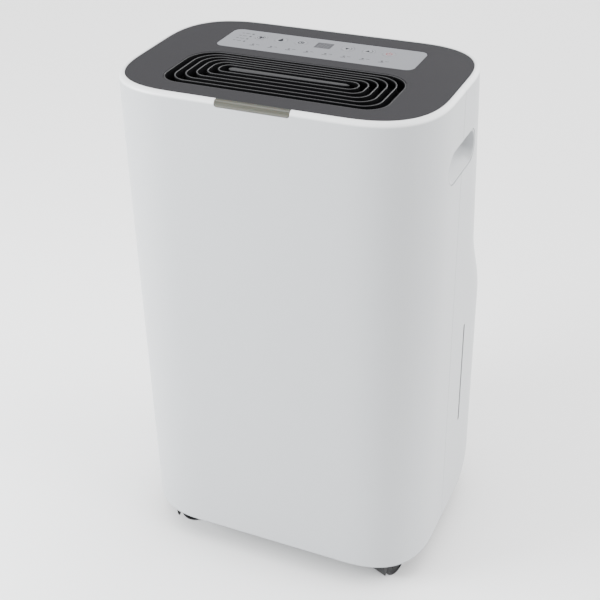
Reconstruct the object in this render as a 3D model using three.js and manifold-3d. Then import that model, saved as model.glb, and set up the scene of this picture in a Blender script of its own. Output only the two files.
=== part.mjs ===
// A portable compressor dehumidifier on four swivel casters, with a rear water tank.
// Millimetres, +Z up. The front faces -Y and the tank pulls out along +Y.
// The origin is on the floor, under the middle of the casing's bounding box.
import * as THREE from "three";
import { mergeVertices } from "three/addons/utils/BufferGeometryUtils.js";
import Module from "manifold-3d";

const wasm = await Module();
wasm.setup();

// ---- Driving dimensions ----
const WIDTH = 358;
const HEIGHT = 600;
const DEPTH_LOW = 286; // at the tank
const DEPTH_TOP = 233; // at the top panel
const DEPTH_MID = 251; // where the shoulder above the tank ends
const BASE_Z = 35; // lower edge of the casing
const SHOULDER_LOW_Z = 300;
const SHOULDER_TOP_Z = 400;
const CORNER_R = 92;
const CORNER_POWER = 2.7; // the plan corners are superellipses, squarer than a circle
const FOOT_R = 30; // round of the casing's rear lower edge
const RIM_R = 4.8; // round of the casing's top edge
const RIM_WIDTH = 5.5; // from the casing's side to the inner edge of the rim
const WALL = 3;
const GAP = 0.3; // between pieces that touch
const FRONT_Y = -DEPTH_LOW / 2;
const SEAM_Y = FRONT_Y + 120; // where the front and rear shells meet
const PANEL_INSET = RIM_WIDTH + GAP;
const LIP_Z = 590; // underside of the lip round the top panel

// The outlet's front and rear edges are measured from the front face.
const OUTLET = { width: 247, front: 30.5, rear: 127, frontR: 24, rearR: 32 };
const RING_COUNT = 5;
const RING_PITCH_SIDE = 9;
const RING_PITCH_REAR = 6;
const RING_THICK = 1.6;

const STRIP = { width: 227.5, depth: 57, rear: 201.5, radius: 9, top: 599.4, thick: 2 };
const STRIP_Y = FRONT_Y + STRIP.rear - STRIP.depth / 2;
const KEY_Y = STRIP_Y + 10;
const KEY_X = [-75, -51, -27, 28, 52, 75];
const KEY_R = 7;
const KEY_NAMES = ["timer", "mode", "fan_speed", "humidity_down", "humidity_up", "power"];
const LAMP_R = 1.3;
const LAMP_ROW_Y = STRIP_Y - 12.5;
const LAMP_ROW_X = [-74.5, -53, -31.7, -10.4, 11, 32.2, 53.5, 75];
const LAMP_COLUMN_X = -88;
const LAMP_COLUMN_Y = [17, 9, 1, -7].map((dy) => STRIP_Y + dy);
const DISPLAY = { width: 18.6, depth: 16 };

const LIGHT_BAR = { width: 81, bottom: 593 };

const POCKET = { y: SEAM_Y, z: 525, length: 92, height: 38, depth: 30 };
const LEVEL = { y: FRONT_Y + 170, bottom: 152, top: 291, width: 5 };

const INTAKE = { halfWidth: 130, bottom: 378, top: 560 };
const FASCIA = { halfWidth: 140.5, bottom: 48, top: 345 };
const GRIP = { width: 114, bottom: 300, top: 330, depth: 20 };
const BAY = { halfWidth: 143.5, front: 5, rear: 125, floor: 53, ceiling: 357, wall: 2.5 };
const BUCKET = { halfWidth: 137, front: 12, rear: 133, bottom: 53.5, top: 285, wall: 2.5, radius: 20 };
const LID_TOP = BUCKET.top + 6;
const SPOUT = { x: 0, y: 45, radius: 6, bottom: 350 };

const PIN_R = 2.1;
const PIN_BORE_R = 2.27; // to the corners of a bore with twelve sides
const BAIL = { y: 70, z: LID_TOP + 8, arm: 50, halfWidth: 124, radius: 3.6 };
const FLOAT = { x: -90, width: 40, y: 26, z: 262, length: 48 };

const COMPRESSOR = { x: 92, y: -78, bottom: 66, top: 262, radius: 52 };
const FEET = [90, 210, 330].map((turn) => {
  const a = THREE.MathUtils.degToRad(turn);
  const r = COMPRESSOR.radius + 4;
  return [COMPRESSOR.x + r * Math.cos(a), COMPRESSOR.y + r * Math.sin(a)];
});
const ACCUMULATOR = { x: 24, y: -108, bottom: 120, top: 236, radius: 16 };
const COIL = { halfWidth: 118, bottom: 363.2, top: 552 };
const EVAPORATOR_Y = [50, 70];
const CONDENSER_Y = [20, 44];

const FAN = { z: 440, y: -100, depth: 66, radius: 84, blades: 24 };
const SCROLL = { front: -104, rear: -28, wall: 2.5, inner: 92, growth: 30, top: 583 };

const CASTER_X = 135;
const CASTER_Y = 108;
const CASTER = { wheelR: 15, wheelWidth: 20.6, trail: 10, hoodWidth: 21.2, web: 6.4, axleR: 2 };
// Angle of each caster's trail from +X, in the pose in which the machine was parked.
const CASTERS = {
  front_left: { x: -CASTER_X, y: -CASTER_Y, turn: 24 },
  front_right: { x: CASTER_X, y: -CASTER_Y, turn: 68 },
  rear_left: { x: -CASTER_X, y: 80, turn: 40 },
  rear_right: { x: CASTER_X, y: 80, turn: 62 },
};

// ---- Materials ----
const finish = (color, roughness, metalness = 0, opacity = 1) =>
  new THREE.MeshStandardMaterial({ color, roughness, metalness, opacity, transparent: opacity < 1 });
const WHITE = finish(0xe9eaec, 0.35);
const DARK_GREY = finish(0x636366, 0.55);
const BLACK = finish(0x17171a, 0.5);
const STRIP_GREY = finish(0xb9bbc0, 0.4);
const KEY_GREY = finish(0xc3c5ca, 0.4);
const LENS = finish(0x8a8c72, 0.15, 0, 0.7);
const SMOKE = finish(0x8d9093, 0.15, 0, 0.5);
const DISPLAY_GREY = finish(0x77797f, 0.15);
const FROSTED = finish(0xdfe5ea, 0.3, 0, 0.6);
const FOAM = finish(0xf2f2ee, 0.9);
const RUBBER = finish(0x202022, 0.85);
const STEEL = finish(0xa9adb2, 0.35, 1);
const PAINTED = finish(0x1d1f22, 0.4, 0.3);
const COPPER = finish(0xb87345, 0.3, 1);
const ALUMINIUM = finish(0xc9ccd0, 0.4, 1);
const BOARD = finish(0x1f5b3a, 0.5);

// ---- Solids: three.js geometry joined and cut by manifold-3d ----
function solid(geometry) {
  const bare = geometry.clone();
  for (const name of Object.keys(bare.attributes)) if (name !== "position") bare.deleteAttribute(name);
  const merged = mergeVertices(bare, 1e-4);
  const mesh = new wasm.Mesh({
    numProp: 3,
    vertProperties: merged.attributes.position.array,
    triVerts: new Uint32Array(merged.index.array),
  });
  return new wasm.Manifold(mesh);
}

function geometryOf(manifold) {
  const mesh = manifold.getMesh();
  return new THREE.BufferGeometry()
    .setAttribute("position", new THREE.BufferAttribute(mesh.vertProperties, 3))
    .setIndex(new THREE.BufferAttribute(mesh.triVerts, 1));
}

const joined = (solids) => solids.reduce((sum, next) => sum.add(next));

// A box between two corners.
function box(x0, x1, y0, y1, z0, z1) {
  const geometry = new THREE.BoxGeometry(x1 - x0, y1 - y0, z1 - z0);
  return solid(geometry.translate((x0 + x1) / 2, (y0 + y1) / 2, (z0 + z1) / 2));
}

// A cylinder of radius r whose axis runs through (x, y, z) along "x", "y" or "z", from low to high.
function rod(axis, r, low, high, [a, b] = [0, 0], sides = 16) {
  const geometry = new THREE.CylinderGeometry(r, r, high - low, sides);
  const middle = (low + high) / 2;
  if (axis === "x") geometry.rotateZ(Math.PI / 2).translate(middle, a, b);
  else if (axis === "y") geometry.translate(a, middle, b);
  else geometry.rotateX(Math.PI / 2).translate(a, b, middle);
  return solid(geometry);
}

// A turned piece about a vertical axis through (x, y); the profile is [radius, z] pairs.
function turned(profile, x = 0, y = 0, sides = 14) {
  const points = profile.map(([r, z]) => new THREE.Vector2(r, z));
  return solid(new THREE.LatheGeometry(points, sides).rotateX(Math.PI / 2).translate(x, y, 0));
}

// A flat outline of [x, y] pairs, extruded from z0 to z1.
function prism(outline, z0, z1, holes = []) {
  const shape = new THREE.Shape(outline.map(([x, y]) => new THREE.Vector2(x, y)));
  for (const hole of holes) shape.holes.push(new THREE.Path(hole.map(([x, y]) => new THREE.Vector2(x, y))));
  const geometry = new THREE.ExtrudeGeometry(shape, { depth: z1 - z0, bevelEnabled: false });
  return solid(geometry.translate(0, 0, z0));
}

// A tube of radius r along a smooth curve through the points.
function pipe(points, r, steps, sides = 8) {
  const stops = points.map((p) => new THREE.Vector3(...p));
  const curve = new THREE.CatmullRomCurve3(stops, false, "catmullrom", 0.4);
  const section = new THREE.Shape(ring(r, sides).map(([x, y]) => new THREE.Vector2(x, y)));
  return solid(new THREE.ExtrudeGeometry(section, { steps, extrudePath: curve, bevelEnabled: false }));
}

const ring = (r, sides, cx = 0, cy = 0) =>
  Array.from({ length: sides }, (_, k) => {
    const a = (2 * Math.PI * k) / sides;
    return [cx + r * Math.cos(a), cy + r * Math.sin(a)];
  });

// A rounded rectangle from (x0, y0) to (x1, y1); the corner power is 2 for circular corners.
function roundRect(x0, x1, y0, y1, r, steps = 5, power = 2, rearR = r) {
  const points = [];
  const corners = [
    [x1, y1, 1, 1, rearR],
    [x0, y1, -1, 1, rearR],
    [x0, y0, -1, -1, r],
    [x1, y0, 1, -1, r],
  ];
  corners.forEach(([x, y, sx, sy, radius], quarter) => {
    for (let k = 0; k <= steps; k++) {
      const a = ((quarter + k / steps) * Math.PI) / 2;
      const c = Math.abs(Math.cos(a)) ** (2 / power);
      const s = Math.abs(Math.sin(a)) ** (2 / power);
      points.push([x - sx * radius * (1 - c), y - sy * radius * (1 - s)]);
    }
  });
  return points;
}

const stadium = (cx, cy, length, height, steps = 6) =>
  roundRect(cx - length / 2, cx + length / 2, cy - height / 2, cy + height / 2, height / 2 - 0.01, steps);

// A solid through outlines of equal point count, each [outline, z], from the lowest up.
function loft(sections) {
  const count = sections[0][0].length;
  const positions = sections.flatMap(([outline, z]) => outline.flatMap(([x, y]) => [x, y, z]));
  const faces = [];
  for (let level = 0; level + 1 < sections.length; level++)
    for (let k = 0; k < count; k++) {
      const a = level * count + k;
      const b = level * count + ((k + 1) % count);
      faces.push(a, b, b + count, a, b + count, a + count);
    }
  const base = sections[0][0].map(([x, y]) => new THREE.Vector2(x, y));
  const cap = THREE.ShapeUtils.triangulateShape(base, []);
  const top = (sections.length - 1) * count;
  for (const [a, b, c] of cap) faces.push(a, c, b, top + a, top + b, top + c);
  const geometry = new THREE.BufferGeometry();
  geometry.setAttribute("position", new THREE.Float32BufferAttribute(positions, 3)).setIndex(faces);
  return solid(geometry);
}

// ---- The casing's form ----
function depthAt(z) {
  if (z >= SHOULDER_TOP_Z) {
    const share = (z - SHOULDER_TOP_Z) / (HEIGHT - SHOULDER_TOP_Z);
    return DEPTH_MID + (DEPTH_TOP - DEPTH_MID) * share;
  }
  if (z > SHOULDER_LOW_Z) {
    const share = THREE.MathUtils.smoothstep(z, SHOULDER_LOW_Z, SHOULDER_TOP_Z);
    return DEPTH_LOW + (DEPTH_MID - DEPTH_LOW) * share;
  }
  const rise = Math.max(0, BASE_Z + FOOT_R - z);
  return DEPTH_LOW - FOOT_R + Math.sqrt(FOOT_R ** 2 - rise ** 2);
}

const rearAt = (z) => FRONT_Y + depthAt(z);

function casingOutline(z, inset, steps = 7) {
  const half = WIDTH / 2 - inset;
  return roundRect(-half, half, FRONT_Y + inset, rearAt(z) - inset, CORNER_R - inset, steps, CORNER_POWER);
}

function casingForm(inset) {
  const rimStart = HEIGHT - RIM_R;
  const levels = [BASE_Z, BASE_Z + 4, BASE_Z + 12, BASE_Z + FOOT_R, SHOULDER_LOW_Z];
  levels.push(...[320, 340, 360, 380, SHOULDER_TOP_Z, rimStart]);
  const sections = levels.map((z) => [casingOutline(z, inset), z]);
  for (const turn of [30, 60, 90]) {
    const a = THREE.MathUtils.degToRad(turn);
    const z = rimStart + RIM_R * Math.sin(a);
    sections.push([casingOutline(z, inset + RIM_R * (1 - Math.cos(a))), z]);
  }
  return loft(sections);
}

// The hollow inside the shells: full height, necked in by the lip round the top panel.
function casingHollow() {
  const levels = [BASE_Z, BASE_Z + 4, BASE_Z + 12, BASE_Z + FOOT_R, SHOULDER_LOW_Z];
  levels.push(...[320, 340, 360, 380, SHOULDER_TOP_Z, LIP_Z]);
  const sections = levels.map((z) => [casingOutline(z, WALL), z]);
  sections[0] = [sections[0][0], BASE_Z - 1];
  sections.push([casingOutline(LIP_Z, RIM_WIDTH), LIP_Z + 2.5]);
  sections.push([casingOutline(HEIGHT, RIM_WIDTH), HEIGHT + 1]);
  return loft(sections);
}

const CASING = casingForm(0);
const SKIN = CASING.subtract(casingHollow());

// Turns a prism drawn in X and Y so that its height runs along +X, its width along Y
// and its length along Z.
const sideways = (manifold) => manifold.transform([0, 1, 0, 0, 0, 0, 1, 0, 1, 0, 0, 0, 0, 0, 0, 1]);
// The same along +Y: outline x stays X and outline y becomes Z.
const upright = (manifold) => manifold.transform([1, 0, 0, 0, 0, 0, 1, 0, 0, -1, 0, 0, 0, 0, 0, 1]);

const pocketOpening = (side) => {
  const cut = sideways(prism(stadium(POCKET.y, POCKET.z, POCKET.length, POCKET.height), 150, 190));
  return side > 0 ? cut : cut.mirror([1, 0, 0]);
};
const lightBarNotch = (clearance) => {
  const half = LIGHT_BAR.width / 2 + clearance;
  const outline = roundRect(-half, half, LIGHT_BAR.bottom - clearance, HEIGHT + 20, 3);
  return upright(prism(outline, -(FRONT_Y + RIM_WIDTH + clearance), -FRONT_Y + 5));
};
const levelSlot = (clearance) => {
  const half = LEVEL.width / 2 + clearance;
  const low = LEVEL.bottom - clearance;
  const high = LEVEL.top + clearance;
  const outline = roundRect(LEVEL.y - half, LEVEL.y + half, low, high, half - 0.01, 3);
  return sideways(prism(outline, 130, 190));
};

// ---- Casing parts ----
function frontShell() {
  return SKIN.subtract(box(-200, 200, SEAM_Y - GAP / 2, 200, 0, 700))
    .subtract(pocketOpening(1))
    .subtract(pocketOpening(-1))
    .subtract(lightBarNotch(0.1));
}

function rearShell() {
  const fascia = FASCIA.halfWidth + 1;
  return SKIN.subtract(box(-200, 200, -200, SEAM_Y + GAP / 2, 0, 700))
    .subtract(pocketOpening(1))
    .subtract(pocketOpening(-1))
    .subtract(levelSlot(0))
    .subtract(box(-INTAKE.halfWidth, INTAKE.halfWidth, 60, 200, INTAKE.bottom, INTAKE.top))
    .subtract(box(-fascia, fascia, 90, 200, FASCIA.bottom - 1, FASCIA.top + 1))
    .subtract(rod("x", 6.3, -185, -160, [60, 120]))
    .subtract(rod("x", 5.3, -185, -160, [60, 80]));
}

const outletOutline = (inset) =>
  roundRect(
    -OUTLET.width / 2 + inset,
    OUTLET.width / 2 - inset,
    FRONT_Y + OUTLET.front + inset,
    FRONT_Y + OUTLET.rear - inset,
    OUTLET.frontR - inset,
    6,
    2,
    OUTLET.rearR - inset,
  );

const stripOutline = (inset) => {
  const half = STRIP.width / 2 - inset;
  const middle = STRIP.depth / 2 - inset;
  return roundRect(-half, half, STRIP_Y - middle, STRIP_Y + middle, STRIP.radius - inset, 4);
};

function topPanel() {
  const plate = prism(casingOutline(HEIGHT, PANEL_INSET), LIP_Z - 1, HEIGHT - GAP);
  const under = prism(casingOutline(HEIGHT, PANEL_INSET + 2.5), LIP_Z - 2, HEIGHT - 4);
  const well = prism(outletOutline(-2), LIP_Z - 1, HEIGHT - 3.5);
  const seat = prism(stripOutline(-2), LIP_Z - 1, HEIGHT - 3.5);
  return plate
    .subtract(under.subtract(well).subtract(seat))
    .subtract(prism(outletOutline(0), 500, 700))
    .subtract(prism(stripOutline(-GAP), STRIP.top - STRIP.thick - GAP, 700))
    .subtract(prism(stripOutline(4), 500, 700));
}

const keyHoles = (r) => KEY_X.map((x) => ring(r, 20, x, KEY_Y));
const lampPlaces = [
  ...LAMP_ROW_X.map((x) => [x, LAMP_ROW_Y]),
  ...LAMP_COLUMN_Y.map((y) => [LAMP_COLUMN_X, y]),
];
const displayOutline = (clearance) => {
  const half = DISPLAY.width / 2 + clearance;
  const middle = DISPLAY.depth / 2 + clearance;
  return roundRect(-half, half, KEY_Y - middle, KEY_Y + middle, 1, 2);
};

function controlStrip() {
  const holes = [
    ...keyHoles(KEY_R + GAP),
    ...lampPlaces.map(([x, y]) => ring(LAMP_R + 0.2, 8, x, y)),
    displayOutline(0.2),
  ];
  return prism(stripOutline(0), STRIP.top - STRIP.thick, STRIP.top, holes);
}

const displayWindow = () => prism(displayOutline(0), STRIP.top - 3, STRIP.top - 0.1);

// A light guide: a thin web under the strip with one pip up through each lamp hole.
function lampGuide() {
  const webZ = [STRIP.top - STRIP.thick - 2.3, STRIP.top - STRIP.thick - 0.5];
  const row = box(-80, 80, LAMP_ROW_Y - 2.5, LAMP_ROW_Y + 2.5, ...webZ);
  const column = box(LAMP_COLUMN_X - 2.5, LAMP_COLUMN_X + 2.5, LAMP_ROW_Y - 2.5, STRIP_Y + 20, ...webZ);
  const bridge = box(LAMP_COLUMN_X, -70, LAMP_ROW_Y - 2.5, LAMP_ROW_Y + 2.5, ...webZ);
  const pips = lampPlaces.map(([x, y]) => rod("z", LAMP_R, webZ[0] + 0.5, STRIP.top - 0.05, [x, y], 8));
  return joined([row, column, bridge, ...pips]);
}

function key(x) {
  const top = STRIP.top + 0.2;
  const profile = [
    [0, top - 8],
    [2, top - 8],
    [2, top - 3.4],
    [KEY_R, top - 3.4],
    [KEY_R, top - 0.4],
    [KEY_R - 0.4, top],
    [0, top],
  ];
  return turned(profile, x, KEY_Y);
}

function controlBoard() {
  const z = LIP_Z - 1 - GAP;
  const plate = box(-112, 112, STRIP_Y - 27, STRIP_Y + 27, z - 1.6, z);
  const switches = KEY_X.map((x) => box(x - 3, x + 3, KEY_Y - 3, KEY_Y + 3, z - 0.5, z + 2));
  const digits = box(-8, 8, KEY_Y - 6, KEY_Y + 6, z - 0.5, z + 6);
  const lamps = box(-80, 80, LAMP_ROW_Y - 1.2, LAMP_ROW_Y + 1.2, z - 0.5, z + 4);
  return joined([plate, digits, lamps, ...switches]);
}

const lightBar = () => CASING.intersect(lightBarNotch(-GAP));

// ---- Outlet grille: nested blades held by ribs underneath ----
function bladeOutline(index, offset) {
  const half = 113.3 - RING_PITCH_SIDE * index + offset;
  const front = FRONT_Y + 40.5 + RING_PITCH_SIDE * index - offset;
  const rear = FRONT_Y + 120.5 - RING_PITCH_REAR * index + offset;
  const frontR = 19 - 2.5 * index;
  const rearR = 26 - 4 * index;
  return roundRect(-half, half, front, rear, frontR + offset, 3, 2, rearR + offset);
}

function outletGrille() {
  const bladeZ = [HEIGHT - 11, HEIGHT - 1.1];
  const ribZ = [HEIGHT - 13.6, HEIGHT - 9.9];
  const frame = prism(outletOutline(GAP), HEIGHT - 14, HEIGHT - 0.8, [outletOutline(GAP + 1.5)]);
  const blades = Array.from({ length: RING_COUNT }, (_, k) =>
    prism(bladeOutline(k, RING_THICK / 2), ...bladeZ, [bladeOutline(k, -RING_THICK / 2)]),
  );
  const barY = FRONT_Y + 87.3;
  const bar = prism(stadium(0, barY, 137, 7.5, 3), ...bladeZ);
  const ribs = [-90, -45, 0, 45, 90].map((x) =>
    box(x - 1.2, x + 1.2, FRONT_Y + OUTLET.front + 1, FRONT_Y + OUTLET.rear - 1, ...ribZ),
  );
  const cross = box(-OUTLET.width / 2 + 1, OUTLET.width / 2 - 1, barY - 1.2, barY + 1.2, ...ribZ);
  return joined([frame, bar, cross, ...blades, ...ribs]);
}

// ---- Side fittings ----
function handleCup(side) {
  const mouth = WIDTH / 2 - 0.6;
  const { y, z, length, height, depth } = POCKET;
  const outline = (inset) => stadium(y, z, length - 2 * inset, height - 2 * inset);
  const cup = prism(outline(GAP), mouth - depth, mouth);
  const inside = prism(outline(GAP + 2), mouth - depth + 2, mouth + 1);
  const collar = prism(outline(-4), mouth - 6, WIDTH / 2 - WALL - 1.6);
  // The scoop's floor slopes out towards its lower lip, and a tongue stands on it at the seam.
  const low = z - height / 2;
  const high = z + height / 2;
  const floor = mouth - depth;
  const ramp = [[floor, low], [mouth - 7, low], [floor + 2, high - 6], [floor, high - 6]];
  const tongue = [[floor, low], [mouth - 9, low], [mouth - 5, high], [floor, high]];
  const slope = upright(prism(ramp, -200, 200)).intersect(sideways(inside));
  const ridge = upright(prism(tongue, -y - 6, -y + 6)).intersect(sideways(inside));
  const made = sideways(cup.add(collar).subtract(inside)).add(slope).add(ridge);
  return side > 0 ? made : made.mirror([1, 0, 0]);
}

function levelWindow() {
  const strip = levelSlot(-0.2).intersect(box(WIDTH / 2 - 8, WIDTH / 2 - 0.3, -200, 200, 0, 600));
  const x = [WIDTH / 2 - WALL - 2.8, WIDTH / 2 - WALL - 0.9];
  const flange = box(...x, LEVEL.y - 7, LEVEL.y + 7, LEVEL.bottom - 5, LEVEL.top + 5);
  return strip.subtract(box(0, x[0], -200, 200, 0, 600)).add(flange);
}

// The drain stub points out of the left side, and the plug closes it.
function drainSpout() {
  const stub = rod("x", 6, -WIDTH / 2 + 4, -BAY.halfWidth - BAY.wall - 1, [60, 120], 12);
  const bore = rod("x", 3.6, -WIDTH / 2, -BAY.halfWidth - BAY.wall - 3, [60, 120], 12);
  const flange = rod("x", 10, -WIDTH / 2 + WALL + 1.2, -WIDTH / 2 + WALL + 3, [60, 120], 12);
  return stub.add(flange).subtract(bore);
}

function drainPlug() {
  const stopper = rod("x", 3.2, -WIDTH / 2 + 1.5, -WIDTH / 2 + 14, [60, 120], 12);
  const head = rod("x", 5.4, -WIDTH / 2 + 0.2, -WIDTH / 2 + 3.4, [60, 120], 12);
  return stopper.add(head);
}

function cordGland() {
  const body = rod("x", 5, -WIDTH / 2 + 0.3, -WIDTH / 2 + 12, [60, 80], 12);
  const flange = rod("x", 8, -WIDTH / 2 + WALL + 1.4, -WIDTH / 2 + WALL + 3.4, [60, 80], 12);
  const bore = rod("x", 3.4, -WIDTH / 2 - 1, -WIDTH / 2 + 13, [60, 80], 12);
  return body.add(flange).subtract(bore);
}

// ---- Air intake at the rear ----
function intakeGrille() {
  const clearance = 0.7;
  const half = INTAKE.halfWidth - clearance;
  const z = [INTAKE.bottom + clearance, INTAKE.top - clearance];
  const panel = SKIN.intersect(box(-half, half, 60, 200, ...z));
  const rows = 13;
  const columns = 3;
  const border = 9;
  const pitchZ = (INTAKE.top - INTAKE.bottom - 2 * border) / rows;
  const pitchX = (2 * half - 2 * border) / columns;
  const slots = [];
  for (let row = 0; row < rows; row++)
    for (let column = 0; column < columns; column++) {
      const x = -half + border + column * pitchX;
      const z = INTAKE.bottom + border + row * pitchZ;
      slots.push(box(x + 1.5, x + pitchX - 1.5, 60, 200, z + 3, z + pitchZ));
    }
  return panel.subtract(joined(slots));
}

function filterFrame() {
  const half = INTAKE.halfWidth - 4;
  const tilt = Math.atan2(DEPTH_MID - DEPTH_TOP, HEIGHT - SHOULDER_TOP_Z);
  const outline = roundRect(-half, half, -84, 84, 4, 2);
  const bars = [-half / 3, half / 3].map((x) => box(x - 1.5, x + 1.5, -82, 82, 0, 3));
  const frame = prism(outline, 0, 4, [roundRect(-half + 6, half - 6, -78, 78, 2, 2)]);
  return { made: joined([frame, ...bars]), tilt };
}

// Stands a flat panel drawn at the origin upright against the leaning rear wall.
function againstRear(manifold, tilt, distance) {
  const z = (INTAKE.bottom + INTAKE.top) / 2 + 1;
  const lean = new THREE.Matrix4().makeRotationX(Math.PI / 2 + tilt);
  lean.setPosition(0, rearAt(z) - distance, z);
  return manifold.transform(lean.elements);
}

// ---- Base and tank bay ----
function baseTray() {
  const outline = (inset) => {
    const half = WIDTH / 2 - inset;
    return roundRect(-half, half, FRONT_Y + inset, 104 - inset + 4, CORNER_R - inset, 5, CORNER_POWER);
  };
  const rim = prism(outline(WALL + 0.6), BASE_Z + 1, BAY.floor - BAY.wall - GAP);
  const inside = prism(outline(WALL + 3.1), BASE_Z + 4, 60);
  const places = Object.values(CASTERS);
  const bosses = places.map(({ x, y }) => rod("z", 9, BASE_Z + 1, BAY.floor - BAY.wall - GAP, [x, y], 12));
  const sockets = places.map(({ x, y }) => rod("z", 4.4, BASE_Z, BASE_Z + 13, [x, y], 12));
  const posts = FEET.map((at) => rod("z", 8, BASE_Z + 2, COMPRESSOR.bottom + 2 - GAP, at, 10));
  return rim.subtract(inside).add(joined([...bosses, ...posts])).subtract(joined(sockets));
}

function tankBay() {
  const outer = box(
    -BAY.halfWidth - BAY.wall, BAY.halfWidth + BAY.wall,
    BAY.front - BAY.wall, BAY.rear - 25,
    BAY.floor - BAY.wall, BAY.ceiling + BAY.wall,
  );
  const inner = box(-BAY.halfWidth, BAY.halfWidth, BAY.front, 300, BAY.floor, BAY.ceiling);
  return outer
    .subtract(inner)
    .subtract(rod("z", SPOUT.radius + 1, BAY.ceiling - 1, 370, [SPOUT.x, SPOUT.y], 12))
    .subtract(box(130, 160, LEVEL.y - 6, LEVEL.y + 6, LEVEL.bottom, LEVEL.top));
}

// ---- Water tank ----
const bucketOutline = (inset) =>
  roundRect(
    -BUCKET.halfWidth + inset, BUCKET.halfWidth - inset,
    BUCKET.front + inset, BUCKET.rear - inset,
    BUCKET.radius - inset, 4,
  );

function tankBucket() {
  const walls = prism(bucketOutline(0), BUCKET.bottom, BUCKET.top);
  const inside = prism(bucketOutline(BUCKET.wall), BUCKET.bottom + BUCKET.wall, BUCKET.top + 1);
  const earX = [FLOAT.x - FLOAT.width / 2 - 3.5, FLOAT.x + FLOAT.width / 2 + 0.5];
  const ears = earX.map((x) => box(x, x + 3, BUCKET.front + 1, FLOAT.y + 5, FLOAT.z - 6, FLOAT.z + 6));
  const bores = rod("x", PIN_BORE_R, earX[0] - 1, earX[1] + 4, [FLOAT.y, FLOAT.z], 12);
  return walls.subtract(inside).add(joined(ears).subtract(bores));
}

function tankLid() {
  const plate = prism(bucketOutline(0), BUCKET.top + GAP, LID_TOP - 2);
  const lip = prism(bucketOutline(BUCKET.wall + 0.5), BUCKET.top - 4, BUCKET.top + 1);
  const lipHole = prism(bucketOutline(BUCKET.wall + 2.5), BUCKET.top - 5, BUCKET.top + GAP);
  const low = BUCKET.top + 1;
  const high = LID_TOP + 1;
  const funnel = turned([[0, low], [20, low], [24, high], [0, high]], SPOUT.x, SPOUT.y, 16);
  const earZ = [LID_TOP - 3, BAIL.z + 6];
  const ears = [-1, 1].map((side) => {
    const x = side * (BAIL.halfWidth + BAIL.radius + 2.5);
    return box(x - 1.5, x + 1.5, BAIL.y - 6, BAIL.y + 6, ...earZ);
  });
  const bores = rod("x", PIN_BORE_R, -BAIL.halfWidth - 12, BAIL.halfWidth + 12, [BAIL.y, BAIL.z], 12);
  const inlet = rod("z", 14, BUCKET.top - 10, 330, [SPOUT.x, SPOUT.y], 16);
  return plate
    .add(lip.subtract(lipHole))
    .add(funnel)
    .add(joined(ears).subtract(bores))
    .subtract(inlet);
}

// The tank's carrying handle lies flat on the lid and swings up about its two pins.
function tankHandle() {
  const { y, z, arm, halfWidth, radius } = BAIL;
  const bar = rod("x", radius, -halfWidth, halfWidth, [y - arm, z], 10);
  const arms = [-1, 1].map((side) => {
    const x = side * halfWidth;
    return joined([
      box(x - radius, x + radius, y - arm, y + 4, z - radius, z + radius),
      rod("x", PIN_R, side > 0 ? x : x - 9, side > 0 ? x + 9 : x, [y, z], 12),
    ]);
  });
  return joined([bar, ...arms]);
}

// A hollowed float on two arms that turns about pins in the bucket's ears.
function tankFloat() {
  const { x, width, y, z, length } = FLOAT;
  const half = width / 2;
  const block = box(x - half, x + half, y + 14, y + length, z - 26, z - 6);
  const arms = [-1, 1].map((side) => {
    const edge = x + side * (half - 2);
    return box(edge - 2, edge + 2, y - 3, y + 20, z - 8, z + 3);
  });
  const pins = rod("x", PIN_R, x - half - 3, x + half + 3, [y, z], 12);
  return joined([block, pins, ...arms]);
}

function tankFascia() {
  const { halfWidth, bottom, top } = FASCIA;
  const skin = SKIN.intersect(box(-halfWidth, halfWidth, 90, 200, bottom, top));
  const grip = roundRect(-GRIP.width / 2, GRIP.width / 2, GRIP.bottom, GRIP.top, 10);
  const cupFront = -(rearAt(GRIP.bottom) - GRIP.depth);
  const cup = (inset, low) => {
    const outline = roundRect(
      -GRIP.width / 2 - inset, GRIP.width / 2 + inset,
      GRIP.bottom - inset, GRIP.top + inset, 10 + inset,
    );
    return upright(prism(outline, -200, low));
  };
  const hollow = upright(prism(grip, -200, cupFront));
  const ribs = [110, 220].map((z) => box(-60, 60, BUCKET.rear + GAP, 142, z, z + 3));
  return skin
    .add(cup(2.5, cupFront + 2.5).intersect(CASING))
    .add(joined(ribs))
    .subtract(hollow);
}

// ---- Refrigeration circuit ----
function coil([y0, y1], bends) {
  const { halfWidth, bottom, top } = COIL;
  const fins = box(-halfWidth + 4, halfWidth - 4, y0 + 1, y1 - 1, bottom + 2, top - 2);
  const ends = [-1, 1].map((side) => {
    const x = side * (halfWidth - 3);
    return box(x - 1.5, x + 1.5, y0, y1, bottom, top);
  });
  const pitch = (top - bottom - 30) / (2 * bends);
  const middle = (y0 + y1) / 2;
  const loops = [];
  for (let k = 0; k < bends; k++)
    for (const side of [-1, 1]) {
      const z = bottom + 15 + (2 * k + (side > 0 ? 0.5 : 1.5)) * pitch;
      if (z + pitch / 2 > top - 4) continue;
      const x = side * (halfWidth - 2);
      const reach = side * pitch * 0.45;
      loops.push(pipe([
        [x, middle, z - pitch / 2],
        [x + reach, middle, z - pitch / 4],
        [x + reach, middle, z + pitch / 4],
        [x, middle, z + pitch / 2],
      ], 3.5, 4, 5));
    }
  return joined([fins, ...ends, ...loops]);
}

const dripTray = () => {
  const z = [BAY.ceiling + BAY.wall + GAP, 374];
  const rim = box(-135, 135, 14, 82, ...z);
  const inside = box(-132.5, 132.5, 16.5, 79.5, z[0] + 2.5, 380);
  const spout = rod("z", SPOUT.radius, SPOUT.bottom, z[0] + 1, [SPOUT.x, SPOUT.y], 12);
  const bore = rod("z", SPOUT.radius - 1.8, SPOUT.bottom - 1, 380, [SPOUT.x, SPOUT.y], 12);
  return rim.subtract(inside).add(spout).subtract(bore);
};

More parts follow.
